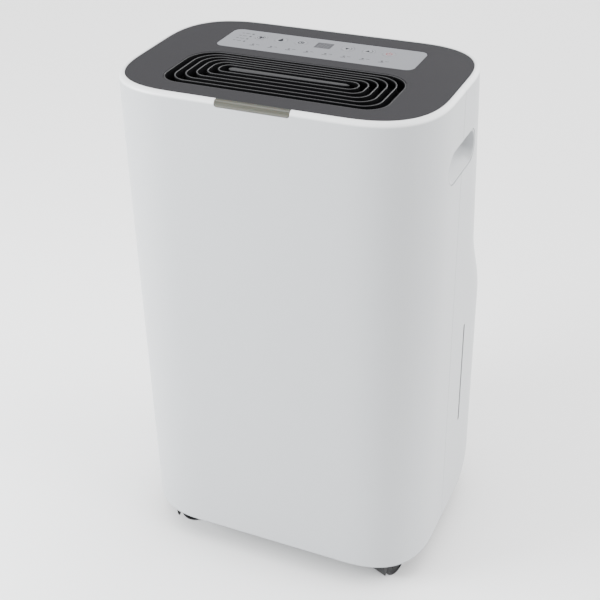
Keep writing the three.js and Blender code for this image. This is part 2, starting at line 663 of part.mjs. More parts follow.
function compressor() {
  const { x, y, bottom, top, radius } = COMPRESSOR;
  const can = turned([
    [0, bottom],
    [radius - 14, bottom],
    [radius, bottom + 12],
    [radius, top - 22],
    [radius - 18, top - 5],
    [0, top],
  ], x, y, 24);
  const feet = FEET.map((at) => rod("z", 13, bottom + 2, bottom + 5, at, 12));
  return joined([can, ...feet]);
}

const terminalCover = () => {
  const { x, y, top } = COMPRESSOR;
  return rod("z", 20, top + GAP, top + 18, [x, y], 12);
};

const PIPE_R = 4;

// The suction line, with its accumulator brazed to the lower end.
function suctionLine() {
  const { x, y, bottom, top, radius } = ACCUMULATOR;
  const can = turned([
    [0, bottom],
    [radius - 6, bottom],
    [radius, bottom + 8],
    [radius, top - 8],
    [radius - 8, top],
    [0, top],
  ], x, y, 14);
  const line = pipe([
    [x, y, top - 3],
    [x, y, 270],
    [60, -118, 296],
    [138, -116, 306],
    [152, -88, 330],
    [152, -10, 350],
    [152, 40, 375],
    [149, 56, 394],
    [138, 60, 402],
    [COIL.halfWidth + 1, 60, 402],
  ], PIPE_R, 34);
  return can.add(line);
}

const dischargePipe = () =>
  pipe([
    [COMPRESSOR.x + 32, COMPRESSOR.y + 6, COMPRESSOR.top - 3],
    [COMPRESSOR.x + 34, COMPRESSOR.y + 10, 290],
    [136, -40, 305],
    [163, -10, 320],
    [163, 20, 345],
    [163, 32, 480],
    [150, 32, 530],
    [COIL.halfWidth + 1, 32, 534],
  ], PIPE_R, 34);

const capillary = () =>
  pipe([
    [-COIL.halfWidth - 1, 32, 381],
    [-131, 32, 382],
    [-141, 34, 402],
    [-150, 40, 440],
    [-150, 52, 440],
    [-141, 58, 402],
    [-131, 60, 382],
    [-COIL.halfWidth - 1, 60, 381],
  ], 2.6, 26, 6);

// ---- Fan ----
const FAN_Y = [FAN.y + 2, FAN.y + 2 + FAN.depth];

function fanWheel() {
  const { radius, blades, z } = FAN;
  const [low, high] = FAN_Y;
  const plate = rod("y", radius, low, low + 2.5, [0, z], 24);
  const rim = upright(prism(ring(radius, 24, 0, z), -high, -high + 3, [ring(radius - 4, 24, 0, z)]));
  const hub = rod("y", 12, low - 1, low + 24, [0, z], 12);
  const vanes = Array.from({ length: blades }, (_, k) => {
    const vane = box(-1, 1, low + 1, high - 1, -6, 6);
    const turn = (360 * k) / blades;
    return vane.rotate([0, 28, 0]).translate([0, 0, radius - 7]).rotate([0, turn, 0]).translate([0, 0, z]);
  });
  const bore = rod("y", 4.3, low - 3, low + 30, [0, z], 12);
  return joined([plate, rim, hub, ...vanes]).subtract(bore);
}

// The volute's outline in X and Z: a spiral that opens into a straight duct to the outlet.
function voluteOutline(inset, top = SCROLL.top) {
  const points = [];
  const steps = 18;
  const duct = OUTLET.width / 2 - 4 - inset;
  for (let k = 0; k <= steps; k++) {
    const share = k / steps;
    const a = Math.PI - 0.25 + share * (Math.PI + 0.5);
    const r = SCROLL.inner + SCROLL.growth * share - inset;
    points.push([r * Math.cos(a), FAN.z + r * Math.sin(a)]);
  }
  points.push([duct, 540], [duct, top], [-duct, top], [-duct, 540]);
  return points;
}

function voluteBody() {
  const { front, rear, wall } = SCROLL;
  const outer = upright(prism(voluteOutline(0), -rear + 2, -front));
  const inner = upright(prism(voluteOutline(wall, SCROLL.top + 5), -rear - 5, -front - wall));
  const motorHole = rod("y", 20, front - 5, front + 5, [0, FAN.z], 16);
  return outer.subtract(inner).subtract(motorHole);
}

function voluteCover() {
  const { rear } = SCROLL;
  const plate = upright(prism(voluteOutline(0), -rear - 2.5 + 0.8, -rear + 2 - GAP));
  const inlet = rod("y", FAN.radius - 12, rear - 10, rear + 10, [0, FAN.z], 24);
  return plate.subtract(inlet);
}

function fanMotor() {
  const can = rod("y", 34, -136, SCROLL.front - GAP - 2, [0, FAN.z], 18);
  const nose = rod("y", 18, SCROLL.front - 3, SCROLL.front + 1.5, [0, FAN.z], 16);
  const shaft = rod("y", 4, SCROLL.front, FAN_Y[0] + 26, [0, FAN.z], 12);
  const flange = box(-44, 44, SCROLL.front - GAP - 5, SCROLL.front - GAP, FAN.z - 8, FAN.z + 8);
  return joined([can, nose, shaft, flange]);
}

// ---- Electrics ----
const ELECTRICS = { x0: -150, x1: -30, y0: -112, y1: -20, z0: 50.8, z1: 200 };

// The box is open towards the front shell.
function electricsBox() {
  const { x0, x1, y0, y1, z0, z1 } = ELECTRICS;
  const inside = box(x0 + 2.5, x1 - 2.5, y0 - 5, y1 - 2.5, z0 + 2.5, z1 - 2.5);
  return box(x0, x1, y0, y1, z0, z1).subtract(inside);
}

const mainBoard = () => box(-145, -36, -60, -58.4, 56, 190).add(box(-120, -80, -58.6, -38, 90, 130));
const runCapacitor = () => rod("z", 17, 54, 142, [-62, -90], 14);
const humiditySensor = () => box(-122, -116, 74, 80, 470, 500).add(rod("z", 2, 499, 512, [-119, 77], 8));

// One board behind the bay's front wall feels both the float's magnet and the tank itself.
function tankSensor() {
  const y = BAY.front - BAY.wall - 0.6;
  const board = box(-134, -78, y - 2, y, 240, 292);
  const switchBody = box(-132, -112, y - 16, y - 1, 244, 258);
  const reed = box(FLOAT.x - 8, FLOAT.x + 8, y - 8, y - 1, 266, 286);
  return joined([board, switchBody, reed]);
}

// ---- Casters: local frame on the floor under the swivel axis, trail along +X ----
// A leg and a mudguard on a middle web; a wheel turns on each side of the web.
function casterHood() {
  const { trail, hoodWidth, wheelR, web } = CASTER;
  const top = BASE_Z - 1.5;
  const half = hoodWidth / 2;
  const leg = [[-12.5, top], [-11, 14], [-9.8, 10.5], [-8.2, 10.5], [-6.6, 15], [-4, 24], [-2, top]];
  const middle = [[-9, top], [-8, 17], [2, 9.5], [16, 9.5], [20, 14], [24, 24], [24.5, 30], [22, top]];
  const guard = [[-6, top], [-4, 27], [10, 29], [24.2, 24], [24.5, 30], [22, top]];
  const across = (outline, reach) => upright(prism(outline, -reach, reach));
  const rooms = [-1, 1].map((side) => {
    const ends = [side * (web / 2), side * (half + 1)].sort((a, b) => a - b);
    return rod("y", wheelR + 1.4, ...ends, [trail, wheelR], 24);
  });
  const shape = joined([across(leg, half), across(middle, web / 2), across(guard, half)]);
  const stem = rod("z", 4, top - 1, BASE_Z + 12, [0, 0], 12);
  const bore = rod("y", 4.6, -half - 1, half + 1, [trail, wheelR], 16);
  return shape.subtract(joined(rooms)).add(stem).subtract(bore);
}

// Two wheels joined by the hub that turns in the hood's web.
function casterWheel() {
  const { trail, wheelR, wheelWidth, web, axleR } = CASTER;
  const half = wheelWidth / 2;
  const inner = web / 2 + 0.5;
  const side = [
    [4, inner],
    [wheelR - 1.5, inner],
    [wheelR, inner + 0.8],
    [wheelR, half - 0.8],
    [wheelR - 4, half - 0.8],
    [wheelR - 4, half],
    [axleR + 0.08, half],
  ];
  const mirrored = side.map(([r, h]) => [r, -h]).reverse();
  const profile = [...mirrored, ...side, [axleR + 0.08, -half]];
  const points = profile.map(([r, h]) => new THREE.Vector2(r, h));
  const sides = 16;
  const flat = new THREE.LatheGeometry(points, sides).rotateY(Math.PI / sides + Math.PI / 2);
  const squash = 1 / Math.cos(Math.PI / sides);
  return solid(flat.scale(squash, 1, squash).translate(trail, 0, wheelR));
}

const casterAxle = () => {
  const { trail, wheelR, axleR, wheelWidth } = CASTER;
  return rod("y", axleR, -wheelWidth / 2 + 0.3, wheelWidth / 2 - 0.3, [trail, wheelR], 12);
};

// ---- Assembly ----
const dehumidifier = new THREE.Group();

function place(parent, name, manifold, material) {
  const mesh = new THREE.Mesh(geometryOf(manifold), material);
  mesh.name = name;
  parent.add(mesh);
}

const fixedParts = {
  front_shell: [frontShell, WHITE],
  rear_shell: [rearShell, WHITE],
  top_panel: [topPanel, DARK_GREY],
  outlet_grille: [outletGrille, BLACK],
  control_strip: [controlStrip, STRIP_GREY],
  display_window: [displayWindow, DISPLAY_GREY],
  lamp_guide: [lampGuide, FROSTED],
  control_board: [controlBoard, BOARD],
  humidity_light_bar: [lightBar, LENS],
  left_handle_cup: [() => handleCup(-1), WHITE],
  right_handle_cup: [() => handleCup(1), WHITE],
  level_window: [levelWindow, SMOKE],
  drain_spout: [drainSpout, BLACK],
  cord_gland: [cordGland, BLACK],
  base_tray: [baseTray, BLACK],
  tank_bay: [tankBay, BLACK],
  drip_tray: [dripTray, BLACK],
  evaporator: [() => coil(EVAPORATOR_Y, 5), ALUMINIUM],
  condenser: [() => coil(CONDENSER_Y, 5), ALUMINIUM],
  compressor: [compressor, PAINTED],
  compressor_terminal_cover: [terminalCover, BLACK],
  suction_line: [suctionLine, COPPER],
  discharge_pipe: [dischargePipe, COPPER],
  capillary_tube: [capillary, COPPER],
  fan_volute: [voluteBody, BLACK],
  fan_volute_cover: [voluteCover, BLACK],
  fan_motor: [fanMotor, STEEL],
  electrics_box: [electricsBox, BLACK],
  main_board: [mainBoard, BOARD],
  run_capacitor: [runCapacitor, STEEL],
  humidity_sensor: [humiditySensor, WHITE],
  tank_sensor: [tankSensor, BOARD],
};

for (const [name, [make, material]] of Object.entries(fixedParts)) {
  place(dehumidifier, name, make(), material);
}

const filterDoor = new THREE.Group();
const { made: filterSolid, tilt: REAR_TILT } = filterFrame();
place(filterDoor, "intake_grille", intakeGrille(), WHITE);
place(filterDoor, "filter_frame", againstRear(filterSolid, REAR_TILT, 7.6), BLACK);
const meshSheet = box(-INTAKE.halfWidth + 5, INTAKE.halfWidth - 5, -82, 82, 0, 1);
place(filterDoor, "filter_mesh", againstRear(meshSheet, REAR_TILT, 11.9), RUBBER);
dehumidifier.add(filterDoor);

const tank = new THREE.Group();
place(tank, "tank_bucket", tankBucket(), FROSTED);
place(tank, "tank_lid", tankLid(), WHITE);
place(tank, "tank_fascia", tankFascia(), WHITE);
place(tank, "tank_handle", tankHandle(), BLACK);
place(tank, "tank_float", tankFloat(), FOAM);
dehumidifier.add(tank);

place(dehumidifier, "fan_wheel", fanWheel(), BLACK);
place(dehumidifier, "drain_plug", drainPlug(), RUBBER);
KEY_X.forEach((x, k) => place(dehumidifier, `${KEY_NAMES[k]}_key`, key(x), KEY_GREY));

for (const [corner, { x, y, turn }] of Object.entries(CASTERS)) {
  const caster = new THREE.Group();
  caster.position.set(x, y, 0);
  caster.rotation.z = THREE.MathUtils.degToRad(turn);
  place(caster, `${corner}_caster_hood`, casterHood(), BLACK);
  place(caster, `${corner}_caster_wheel`, casterWheel(), RUBBER);
  place(caster, `${corner}_caster_axle`, casterAxle(), STEEL);
  dehumidifier.add(caster);
}

export default dehumidifier;
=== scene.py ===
import math

import bmesh
import bpy
from mathutils import Matrix, Vector


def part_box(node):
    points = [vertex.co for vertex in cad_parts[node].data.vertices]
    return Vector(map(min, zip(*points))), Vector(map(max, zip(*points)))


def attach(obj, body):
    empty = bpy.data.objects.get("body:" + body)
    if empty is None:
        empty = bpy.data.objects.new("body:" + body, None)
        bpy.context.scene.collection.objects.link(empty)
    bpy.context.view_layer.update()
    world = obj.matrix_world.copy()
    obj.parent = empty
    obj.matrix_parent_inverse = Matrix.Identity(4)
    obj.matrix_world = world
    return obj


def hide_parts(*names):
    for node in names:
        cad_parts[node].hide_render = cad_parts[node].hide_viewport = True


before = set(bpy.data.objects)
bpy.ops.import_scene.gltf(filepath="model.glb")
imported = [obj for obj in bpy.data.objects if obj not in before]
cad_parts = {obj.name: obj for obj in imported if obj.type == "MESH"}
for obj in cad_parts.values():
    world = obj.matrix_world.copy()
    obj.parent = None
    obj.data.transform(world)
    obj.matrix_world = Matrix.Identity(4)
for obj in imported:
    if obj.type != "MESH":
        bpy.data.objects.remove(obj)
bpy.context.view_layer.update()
MM = 0.001

# ---- The casing's form, in millimetres ----
WIDTH = 358
HEIGHT = 600
DEPTH_LOW = 286
DEPTH_TOP = 233
DEPTH_MID = 251
BASE_Z = 35
SHOULDER_LOW_Z = 300
SHOULDER_TOP_Z = 400
CORNER_R = 92
CORNER_POWER = 2.7
FOOT_R = 30
RIM_R = 4.8
RIM_WIDTH = 5.5
WALL = 3
GAP = 0.3
FRONT_Y = -DEPTH_LOW / 2
SEAM_Y = FRONT_Y + 120
HALF = WIDTH / 2


def sind(degrees):
    return math.sin(math.radians(degrees))


def cosd(degrees):
    return math.cos(math.radians(degrees))


def smoothstep(value, low, high):
    share = min(1, max(0, (value - low) / (high - low)))
    return share * share * (3 - 2 * share)


def rear_at(z):
    """Y of the casing's rear face at height z."""
    if z >= SHOULDER_TOP_Z:
        share = (z - SHOULDER_TOP_Z) / (HEIGHT - SHOULDER_TOP_Z)
        depth = DEPTH_MID + (DEPTH_TOP - DEPTH_MID) * share
    elif z > SHOULDER_LOW_Z:
        depth = DEPTH_LOW + (DEPTH_MID - DEPTH_LOW) * smoothstep(z, SHOULDER_LOW_Z, SHOULDER_TOP_Z)
    else:
        rise = max(0, BASE_Z + FOOT_R - z)
        depth = DEPTH_LOW - FOOT_R + math.sqrt(max(0, FOOT_R**2 - rise**2))
    return FRONT_Y + depth


def rear_skin(x, z, inset=0.0):
    """Y of the rear face at x and z, the given distance inside the surface."""
    radius = CORNER_R - inset
    over = max(0.0, abs(x) - (HALF - CORNER_R)) / radius
    fall = radius * (1 - (1 - min(1, over) ** CORNER_POWER) ** (1 / CORNER_POWER))
    return rear_at(z) - inset - fall


# ---- Outlines in a plane: lists of (x, y) in millimetres ----
def arc_corner(cx, cy, sx, sy, radius, quarter, steps, power=2.0):
    points = []
    for k in range(steps + 1):
        a = (quarter + k / steps) * math.pi / 2
        c = abs(math.cos(a)) ** (2 / power)
        s = abs(math.sin(a)) ** (2 / power)
        points.append((cx + sx * radius * c, cy + sy * radius * s))
    return points


def round_rect(x0, x1, y0, y1, radius, steps=12, power=2.0, rear_radius=None):
    rear = radius if rear_radius is None else rear_radius
    return (
        arc_corner(x1 - rear, y1 - rear, 1, 1, rear, 0, steps, power)
        + arc_corner(x0 + rear, y1 - rear, -1, 1, rear, 1, steps, power)
        + arc_corner(x0 + radius, y0 + radius, -1, -1, radius, 2, steps, power)
        + arc_corner(x1 - radius, y0 + radius, 1, -1, radius, 3, steps, power)
    )


def circle(cx, cy, radius, steps=48):
    return [
        (
            cx + radius * math.cos(2 * math.pi * k / steps),
            cy + radius * math.sin(2 * math.pi * k / steps),
        )
        for k in range(steps)
    ]


def stadium(cx, cy, length, height, steps=20):
    r = height / 2 - 0.01
    return round_rect(cx - length / 2, cx + length / 2, cy - height / 2, cy + height / 2, r, steps)


def soften(corners, radius, steps=6):
    """A closed outline with its corners rounded."""
    outline = []
    count = len(corners)
    for k, here in enumerate(corners):
        here, before, after = Vector(here), Vector(corners[k - 1]), Vector(corners[(k + 1) % count])
        a, b = before - here, after - here
        reach = min(radius, a.length * 0.45, b.length * 0.45)
        p, q = here + a.normalized() * reach, here + b.normalized() * reach
        for j in range(steps + 1):
            t = j / steps
            outline.append(tuple((1 - t) ** 2 * p + 2 * t * (1 - t) * here + t**2 * q))
    return outline


def casing_outline(z, inset, steps=28):
    half = HALF - inset
    return round_rect(
        -half, half, FRONT_Y + inset, rear_at(z) - inset, CORNER_R - inset, steps, CORNER_POWER
    )


# ---- Meshes ----
def new_object(name, mesh):
    made = bpy.data.objects.new(name, mesh)
    bpy.context.scene.collection.objects.link(made)
    return made


def smooth(mesh, angle=35):
    mesh.shade_smooth()
    mesh.set_sharp_from_angle(angle=math.radians(angle))


def mesh_from(name, points, faces, angle=35):
    """An object from points in millimetres; face directions are put right."""
    work = bmesh.new()
    verts = [work.verts.new((x * MM, y * MM, z * MM)) for x, y, z in points]
    for face in faces:
        work.faces.new([verts[i] for i in face])
    bmesh.ops.remove_doubles(work, verts=work.verts, dist=1e-7)
    bmesh.ops.recalc_face_normals(work, faces=work.faces)
    mesh = bpy.data.meshes.new(name)
    work.to_mesh(mesh)
    work.free()
    smooth(mesh, angle)
    return new_object(name, mesh)


def loft(name, sections, closed=True, angle=35):
    """Skins closed sections of equal point count; caps both ends, or joins the last to the first."""
    count = len(sections[0])
    points = [p for section in sections for p in section]
    faces = []
    for level in range(len(sections) - 1):
        for k in range(count):
            a = level * count + k
            b = level * count + (k + 1) % count
            faces.append((a, b, b + count, a + count))
    if closed:
        faces.append(tuple(range(count)))
        faces.append(tuple((len(sections) - 1) * count + k for k in range(count)))
    else:
        last = (len(sections) - 1) * count
        for k in range(count):
            faces.append((last + k, last + (k + 1) % count, (k + 1) % count, k))
    return mesh_from(name, points, faces, angle)


def plate(name, outline, holes, z0, z1, bevel=0.3, steps=3):
    """A flat plate with holes and rounded edges, from z0 to z1."""
    curve = bpy.data.curves.new(name, "CURVE")
    curve.dimensions = "2D"
    curve.fill_mode = "BOTH"
    for loop in [outline, *holes]:
        spline = curve.splines.new("POLY")
        spline.points.add(len(loop) - 1)
        for point, (x, y) in zip(spline.points, loop):
            point.co = (x * MM, y * MM, 0, 1)
        spline.use_cyclic_u = True
    curve.extrude = ((z1 - z0) / 2 - bevel) * MM
    curve.bevel_depth = bevel * MM
    curve.bevel_resolution = steps
    curve.offset = -bevel * MM
    holder = new_object(name, curve)
    bpy.context.view_layer.update()
    mesh = bpy.data.meshes.new_from_object(holder.evaluated_get(bpy.context.evaluated_depsgraph_get()))
    bpy.data.objects.remove(holder)
    bpy.data.curves.remove(curve)
    mesh.transform(Matrix.Translation((0, 0, (z0 + z1) / 2 * MM)))
    work = bmesh.new()
    work.from_mesh(mesh)
    bmesh.ops.remove_doubles(work, verts=work.verts, dist=1e-6)
    bmesh.ops.recalc_face_normals(work, faces=work.faces)
    work.to_mesh(mesh)
    work.free()
    mesh.name = name
    smooth(mesh, 30)
    return new_object(name, mesh)


def lathe(name, profile, steps=64, at=(0, 0, 0), closed=False, angle=35):
    """Turns [radius, z] pairs about a vertical axis through at, in millimetres."""
    points = []
    for k in range(steps):
        a = 2 * math.pi * k / steps
        points += [(at[0] + r * math.cos(a), at[1] + r * math.sin(a), at[2] + z) for r, z in profile]
    count = len(profile)
    faces = []
    for k in range(steps):
        for j in range(count if closed else count - 1):
            a, b = k * count + j, k * count + (j + 1) % count
            c, d = (k + 1) % steps * count + (j + 1) % count, (k + 1) % steps * count + j
            faces.append((a, b, c, d))
    return tidy_mesh(name, points, faces, angle)


def tidy_mesh(name, points, faces, angle=35):
    """As mesh_from, for faces that collapse where points meet on an axis."""
    mesh = bpy.data.meshes.new(name)
    mesh.from_pydata([(x * MM, y * MM, z * MM) for x, y, z in points], [], faces)
    work = bmesh.new()
    work.from_mesh(mesh)
    bmesh.ops.remove_doubles(work, verts=work.verts, dist=1e-6)
    bmesh.ops.dissolve_degenerate(work, edges=work.edges, dist=1e-7)
    bmesh.ops.recalc_face_normals(work, faces=work.faces)
    work.to_mesh(mesh)
    work.free()
    smooth(mesh, angle)
    return new_object(name, mesh)


def tube(name, path, radius, sides=20, angle=40):
    """A round tube along points in millimetres, with flat ends."""
    points = [Vector(p) for p in path]
    sections = []
    side = None
    for k, here in enumerate(points):
        ahead = points[min(k + 1, len(points) - 1)] - points[max(k - 1, 0)]
        ahead.normalize()
        if side is None:
            side = ahead.orthogonal().normalized()
        side = (side - ahead * side.dot(ahead)).normalized()
        up = ahead.cross(side)
        sections.append([
            tuple(here + radius * (math.cos(a) * side + math.sin(a) * up))
            for a in (2 * math.pi * j / sides for j in range(sides))
        ])
    return loft(name, sections, True, angle)


def rounded_path(points, radius, steps=8):
    """A polyline whose inner corners are replaced by arcs."""
    points = [Vector(p) for p in points]
    path = [points[0]]
    for before, here, after in zip(points, points[1:], points[2:]):
        a = (before - here).normalized()
        b = (after - here).normalized()
        reach = min(radius, (before - here).length / 2, (after - here).length / 2)
        for k in range(steps + 1):
            t = k / steps
            p, q = here + a * reach, here + b * reach
            path.append((1 - t) ** 2 * p + 2 * t * (1 - t) * here + t**2 * q)
    path.append(points[-1])
    return [tuple(p) for p in path]


def cup(name, inside, outside, angle=50):
    """A closed cup from rings: inside runs from mouth to floor, outside from floor to mouth."""
    count = len(inside[0])
    points = [p for ring in inside + outside for p in ring]
    faces = []
    for rings, start in ((inside, 0), (outside, len(inside) * count)):
        for level in range(len(rings) - 1):
            for k in range(count):
                a = start + level * count + k
                b = start + level * count + (k + 1) % count
                faces.append((a, b, b + count, a + count))
    faces.append(tuple((len(inside) - 1) * count + k for k in range(count)))
    faces.append(tuple(len(inside) * count + k for k in range(count)))
    top = (len(inside) + len(outside) - 1) * count
    for k in range(count):
        faces.append((top + k, top + (k + 1) % count, (k + 1) % count, k))
    return mesh_from(name, points, faces, angle)


def join(name, objects):
    """One object from several closed meshes."""
    work = bmesh.new()
    for part in objects:
        part.data.transform(part.matrix_world)
        work.from_mesh(part.data)
    mesh = bpy.data.meshes.new(name)
    work.to_mesh(mesh)
    work.free()
    for part in objects:
        bpy.data.objects.remove(part)
    smooth(mesh)
    return new_object(name, mesh)


def carve(base, cutters, operation="DIFFERENCE"):
    """Cuts each cutter out of base, or joins it on, and removes the cutters."""
    for cutter in cutters:
        change = base.modifiers.new("cut", "BOOLEAN")
        change.operation = operation
        change.solver = "MANIFOLD"
        change.object = cutter
    bpy.context.view_layer.update()
    mesh = bpy.data.meshes.new_from_object(base.evaluated_get(bpy.context.evaluated_depsgraph_get()))
    base.modifiers.clear()
    base.data = mesh
    for cutter in cutters:
        bpy.data.objects.remove(cutter)
    smooth(base.data)
    return base


def bevelled(made, width=0.5, segments=2, angle=35):
    change = made.modifiers.new("bevel", "BEVEL")
    change.width = width * MM
    change.segments = segments
    change.limit_method = "ANGLE"
    change.angle_limit = math.radians(angle)
    change.use_clamp_overlap = True
    return made


def turn_sideways(made):
    """X and Y of a plate become Y and Z, and its height runs along +X."""
    made.data.transform(Matrix(((0, 0, 1, 0), (1, 0, 0, 0), (0, 1, 0, 0), (0, 0, 0, 1))))
    return made


def turn_upright(made):
    """X and Y of a plate become X and Z, and its height runs along -Y."""
    made.data.transform(Matrix(((1, 0, 0, 0), (0, 0, -1, 0), (0, 1, 0, 0), (0, 0, 0, 1))))
    return made


def block(name, x0, x1, y0, y1, z0, z1):
    outline = [(x0, y0), (x1, y0), (x1, y1), (x0, y1)]
    return loft(name, [[(x, y, z) for x, y in outline] for z in (z0, z1)])


def prism(name, outline, z0, z1):
    return loft(name, [[(x, y, z) for x, y in outline] for z in (z0, z1)])


def mirror_x(made):
    made.data.transform(Matrix.Diagonal((-1, 1, 1, 1)))
    made.data.flip_normals()
    return made


# ---- Materials ----
def material(
    name, colour, roughness, metallic=0.0, grain=0.0, grain_scale=1500.0, mottle=0.03,
    coat=0.0, transmission=0.0, specular=0.5, subsurface=0.0,
):
    made = bpy.data.materials.new(name)
    made.use_nodes = True
    tree = made.node_tree
    nodes, links = tree.nodes, tree.links
    shader = nodes["Principled BSDF"]
    shader.inputs["Metallic"].default_value = metallic
    shader.inputs["Specular IOR Level"].default_value = specular
    shader.inputs["Coat Weight"].default_value = coat
    shader.inputs["Coat Roughness"].default_value = 0.15
    shader.inputs["Transmission Weight"].default_value = transmission
    shader.inputs["Subsurface Weight"].default_value = subsurface
    shader.inputs["Subsurface Scale"].default_value = 0.002
    where = nodes.new("ShaderNodeTexCoord")
    broad = nodes.new("ShaderNodeTexNoise")
    broad.inputs["Scale"].default_value = 14
    broad.inputs["Detail"].default_value = 3
    links.new(where.outputs["Object"], broad.inputs["Vector"])
    tint = nodes.new("ShaderNodeMix")
    tint.data_type = "RGBA"
    tint.inputs["A"].default_value = (*[c * (1 - mottle) for c in colour], 1)
    tint.inputs["B"].default_value = (*[min(1, c * (1 + mottle)) for c in colour], 1)
    links.new(broad.outputs["Fac"], tint.inputs["Factor"])
    links.new(tint.outputs["Result"], shader.inputs["Base Color"])
    fine = nodes.new("ShaderNodeTexNoise")
    fine.inputs["Scale"].default_value = grain_scale
    fine.inputs["Detail"].default_value = 2
    links.new(where.outputs["Object"], fine.inputs["Vector"])
    spread = nodes.new("ShaderNodeMapRange")
    spread.inputs["To Min"].default_value = max(0.02, roughness - 0.04)
    spread.inputs["To Max"].default_value = min(1, roughness + 0.04)
    links.new(fine.outputs["Fac"], spread.inputs["Value"])
    links.new(spread.outputs["Result"], shader.inputs["Roughness"])
    if grain:
        bump = nodes.new("ShaderNodeBump")
        bump.inputs["Strength"].default_value = grain
        bump.inputs["Distance"].default_value = 0.0002
        links.new(fine.outputs["Fac"], bump.inputs["Height"])
        links.new(bump.outputs["Normal"], shader.inputs["Normal"])
    return made


WHITE = material(
    "white_moulding", (0.435, 0.448, 0.462), 0.34, grain=0.06, grain_scale=1400, mottle=0.012,
)


def paint_highlight_above(made, height, colour):
    """Painted highlight: the moulding is painted lighter above the given height in millimetres, where the
    rim's top catches the light.
    """
    tree = made.node_tree
    nodes, links = tree.nodes, tree.links
    shader = nodes["Principled BSDF"]
    before = shader.inputs["Base Color"].links[0].from_socket
    where = nodes.new("ShaderNodeTexCoord")
    split = nodes.new("ShaderNodeSeparateXYZ")
    links.new(where.outputs["Object"], split.inputs["Vector"])
    ramp = nodes.new("ShaderNodeMapRange")
    ramp.inputs["From Min"].default_value = (height - 1.2) * MM
    ramp.inputs["From Max"].default_value = (height + 1.2) * MM
    links.new(split.outputs["Z"], ramp.inputs["Value"])
    blend = nodes.new("ShaderNodeMix")
    blend.data_type = "RGBA"
    blend.inputs["B"].default_value = (*colour, 1)
    links.new(ramp.outputs["Result"], blend.inputs["Factor"])
    links.new(before, blend.inputs["A"])
    links.new(blend.outputs["Result"], shader.inputs["Base Color"])


# Painted highlight: the white moulding's rim top, its last 4.2 mm, is painted near white.
paint_highlight_above(WHITE, HEIGHT - 4.2, (0.82, 0.83, 0.84))
INNER_WHITE = material(
    "white_inner_moulding", (0.5, 0.515, 0.53), 0.5, grain=0.12, grain_scale=1100, mottle=0.02,
)
PANEL = material(
    "dark_grey_moulding", (0.027, 0.0265, 0.029), 0.6, specular=0.12, grain=0.35, grain_scale=1700,
    mottle=0.03,
)
LOUVRE = material(
    "black_louvre_moulding", (0.004, 0.004, 0.0045), 0.45, specular=0.12, grain=0.15, grain_scale=1500,
)
BLACK = material(
    "black_inner_moulding", (0.012, 0.012, 0.013), 0.6, specular=0.2, grain=0.3, grain_scale=1200,
)
# Painted shade: the duct's black is darker and duller than the other black mouldings, for the shade deep
# inside the outlet.
DUCT = material(
    "black_duct_moulding", (0.004, 0.004, 0.0045), 0.8, specular=0.05, grain=0.2, grain_scale=1000,
)
STRIP = material(
    "light_grey_overlay", (0.2, 0.205, 0.222), 0.42, grain=0.18, grain_scale=2400, mottle=0.01,
)
KEY = material("light_grey_key", (0.22, 0.225, 0.242), 0.4, grain=0.18, grain_scale=2400, mottle=0.01)
# Painted highlight: a lighter grey for the louvre tops where they catch the light.
LOUVRE_TOP_HIGHLIGHT = material("painted_highlight_louvre_top", (0.035, 0.035, 0.037), 0.4, grain=0.1, specular=0.3)
PRINT = material("dark_grey_print", (0.016, 0.016, 0.02), 0.6, specular=0.1, grain=0.1)
RED_PRINT = material("dull_red_print", (0.24, 0.05, 0.06), 0.5, grain=0.1)
WINDOW = material("tinted_display_window", (0.06, 0.061, 0.068), 0.3, grain=0.02, specular=0.2)
DIGIT = material("unlit_digit_segment", (0.11, 0.112, 0.12), 0.45, grain=0.02)
LENS = material("olive_light_lens", (0.048, 0.048, 0.034), 0.3, grain=0.05, coat=0.4, subsurface=0.2)
SMOKE = material(
    "smoke_level_window", (0.03, 0.031, 0.034), 0.3, grain=0.02, specular=0.15, transmission=0.1,
)
PIP = material("unlit_lamp_pip", (0.02, 0.021, 0.025), 0.4, grain=0.02)
FROSTED = material(
    "frosted_tank_moulding", (0.55, 0.6, 0.65), 0.42, grain=0.25, grain_scale=900, transmission=0.55,
)
LID = material("white_lid_moulding", (0.5, 0.51, 0.52), 0.45, grain=0.2, grain_scale=1200)
FOAM = material("closed_cell_foam", (0.6, 0.6, 0.57), 0.9, grain=0.9, grain_scale=420, mottle=0.05)
RUBBER = material("black_rubber", (0.01, 0.01, 0.0105), 0.75, specular=0.25, grain=0.5, grain_scale=900)
HOOD = material(
    "black_caster_moulding", (0.01, 0.01, 0.011), 0.5, specular=0.3, grain=0.25, grain_scale=1300,
)
TREAD = material(
    "black_nylon_wheel", (0.013, 0.013, 0.014), 0.55, specular=0.3, grain=0.4, grain_scale=900,
)
STEEL = material(
    "zinc_plated_steel", (0.56, 0.57, 0.59), 0.3, 1.0, grain=0.1, grain_scale=800, mottle=0.08,
)
ENAMEL = material("black_enamel", (0.012, 0.0125, 0.014), 0.35, grain=0.15, grain_scale=600, coat=0.3)
COPPER = material(
    "drawn_copper", (0.72, 0.36, 0.22), 0.26, 1.0, grain=0.1, grain_scale=700, mottle=0.12,
)
FINS = material(
    "aluminium_fins", (0.5, 0.51, 0.52), 0.36, 1.0, grain=0.15, grain_scale=900, mottle=0.05,
)
BOARD = material(
    "green_circuit_board", (0.02, 0.08, 0.035), 0.4, grain=0.5, grain_scale=500, mottle=0.25,
)
NET = material("black_filter_net", (0.012, 0.012, 0.013), 0.7, specular=0.2, grain=0.2)


def piece(made, body, slot, surface, *nodes):
    """Finishes a piece: its material, the body it rides on and the CAD nodes it stands for."""
    made.data.materials.clear()
    made.data.materials.append(surface)
    if nodes:
        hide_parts(*nodes)
    change = made.modifiers.new("normals", "WEIGHTED_NORMAL")
    change.keep_sharp = True
    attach(made, body)
    return made


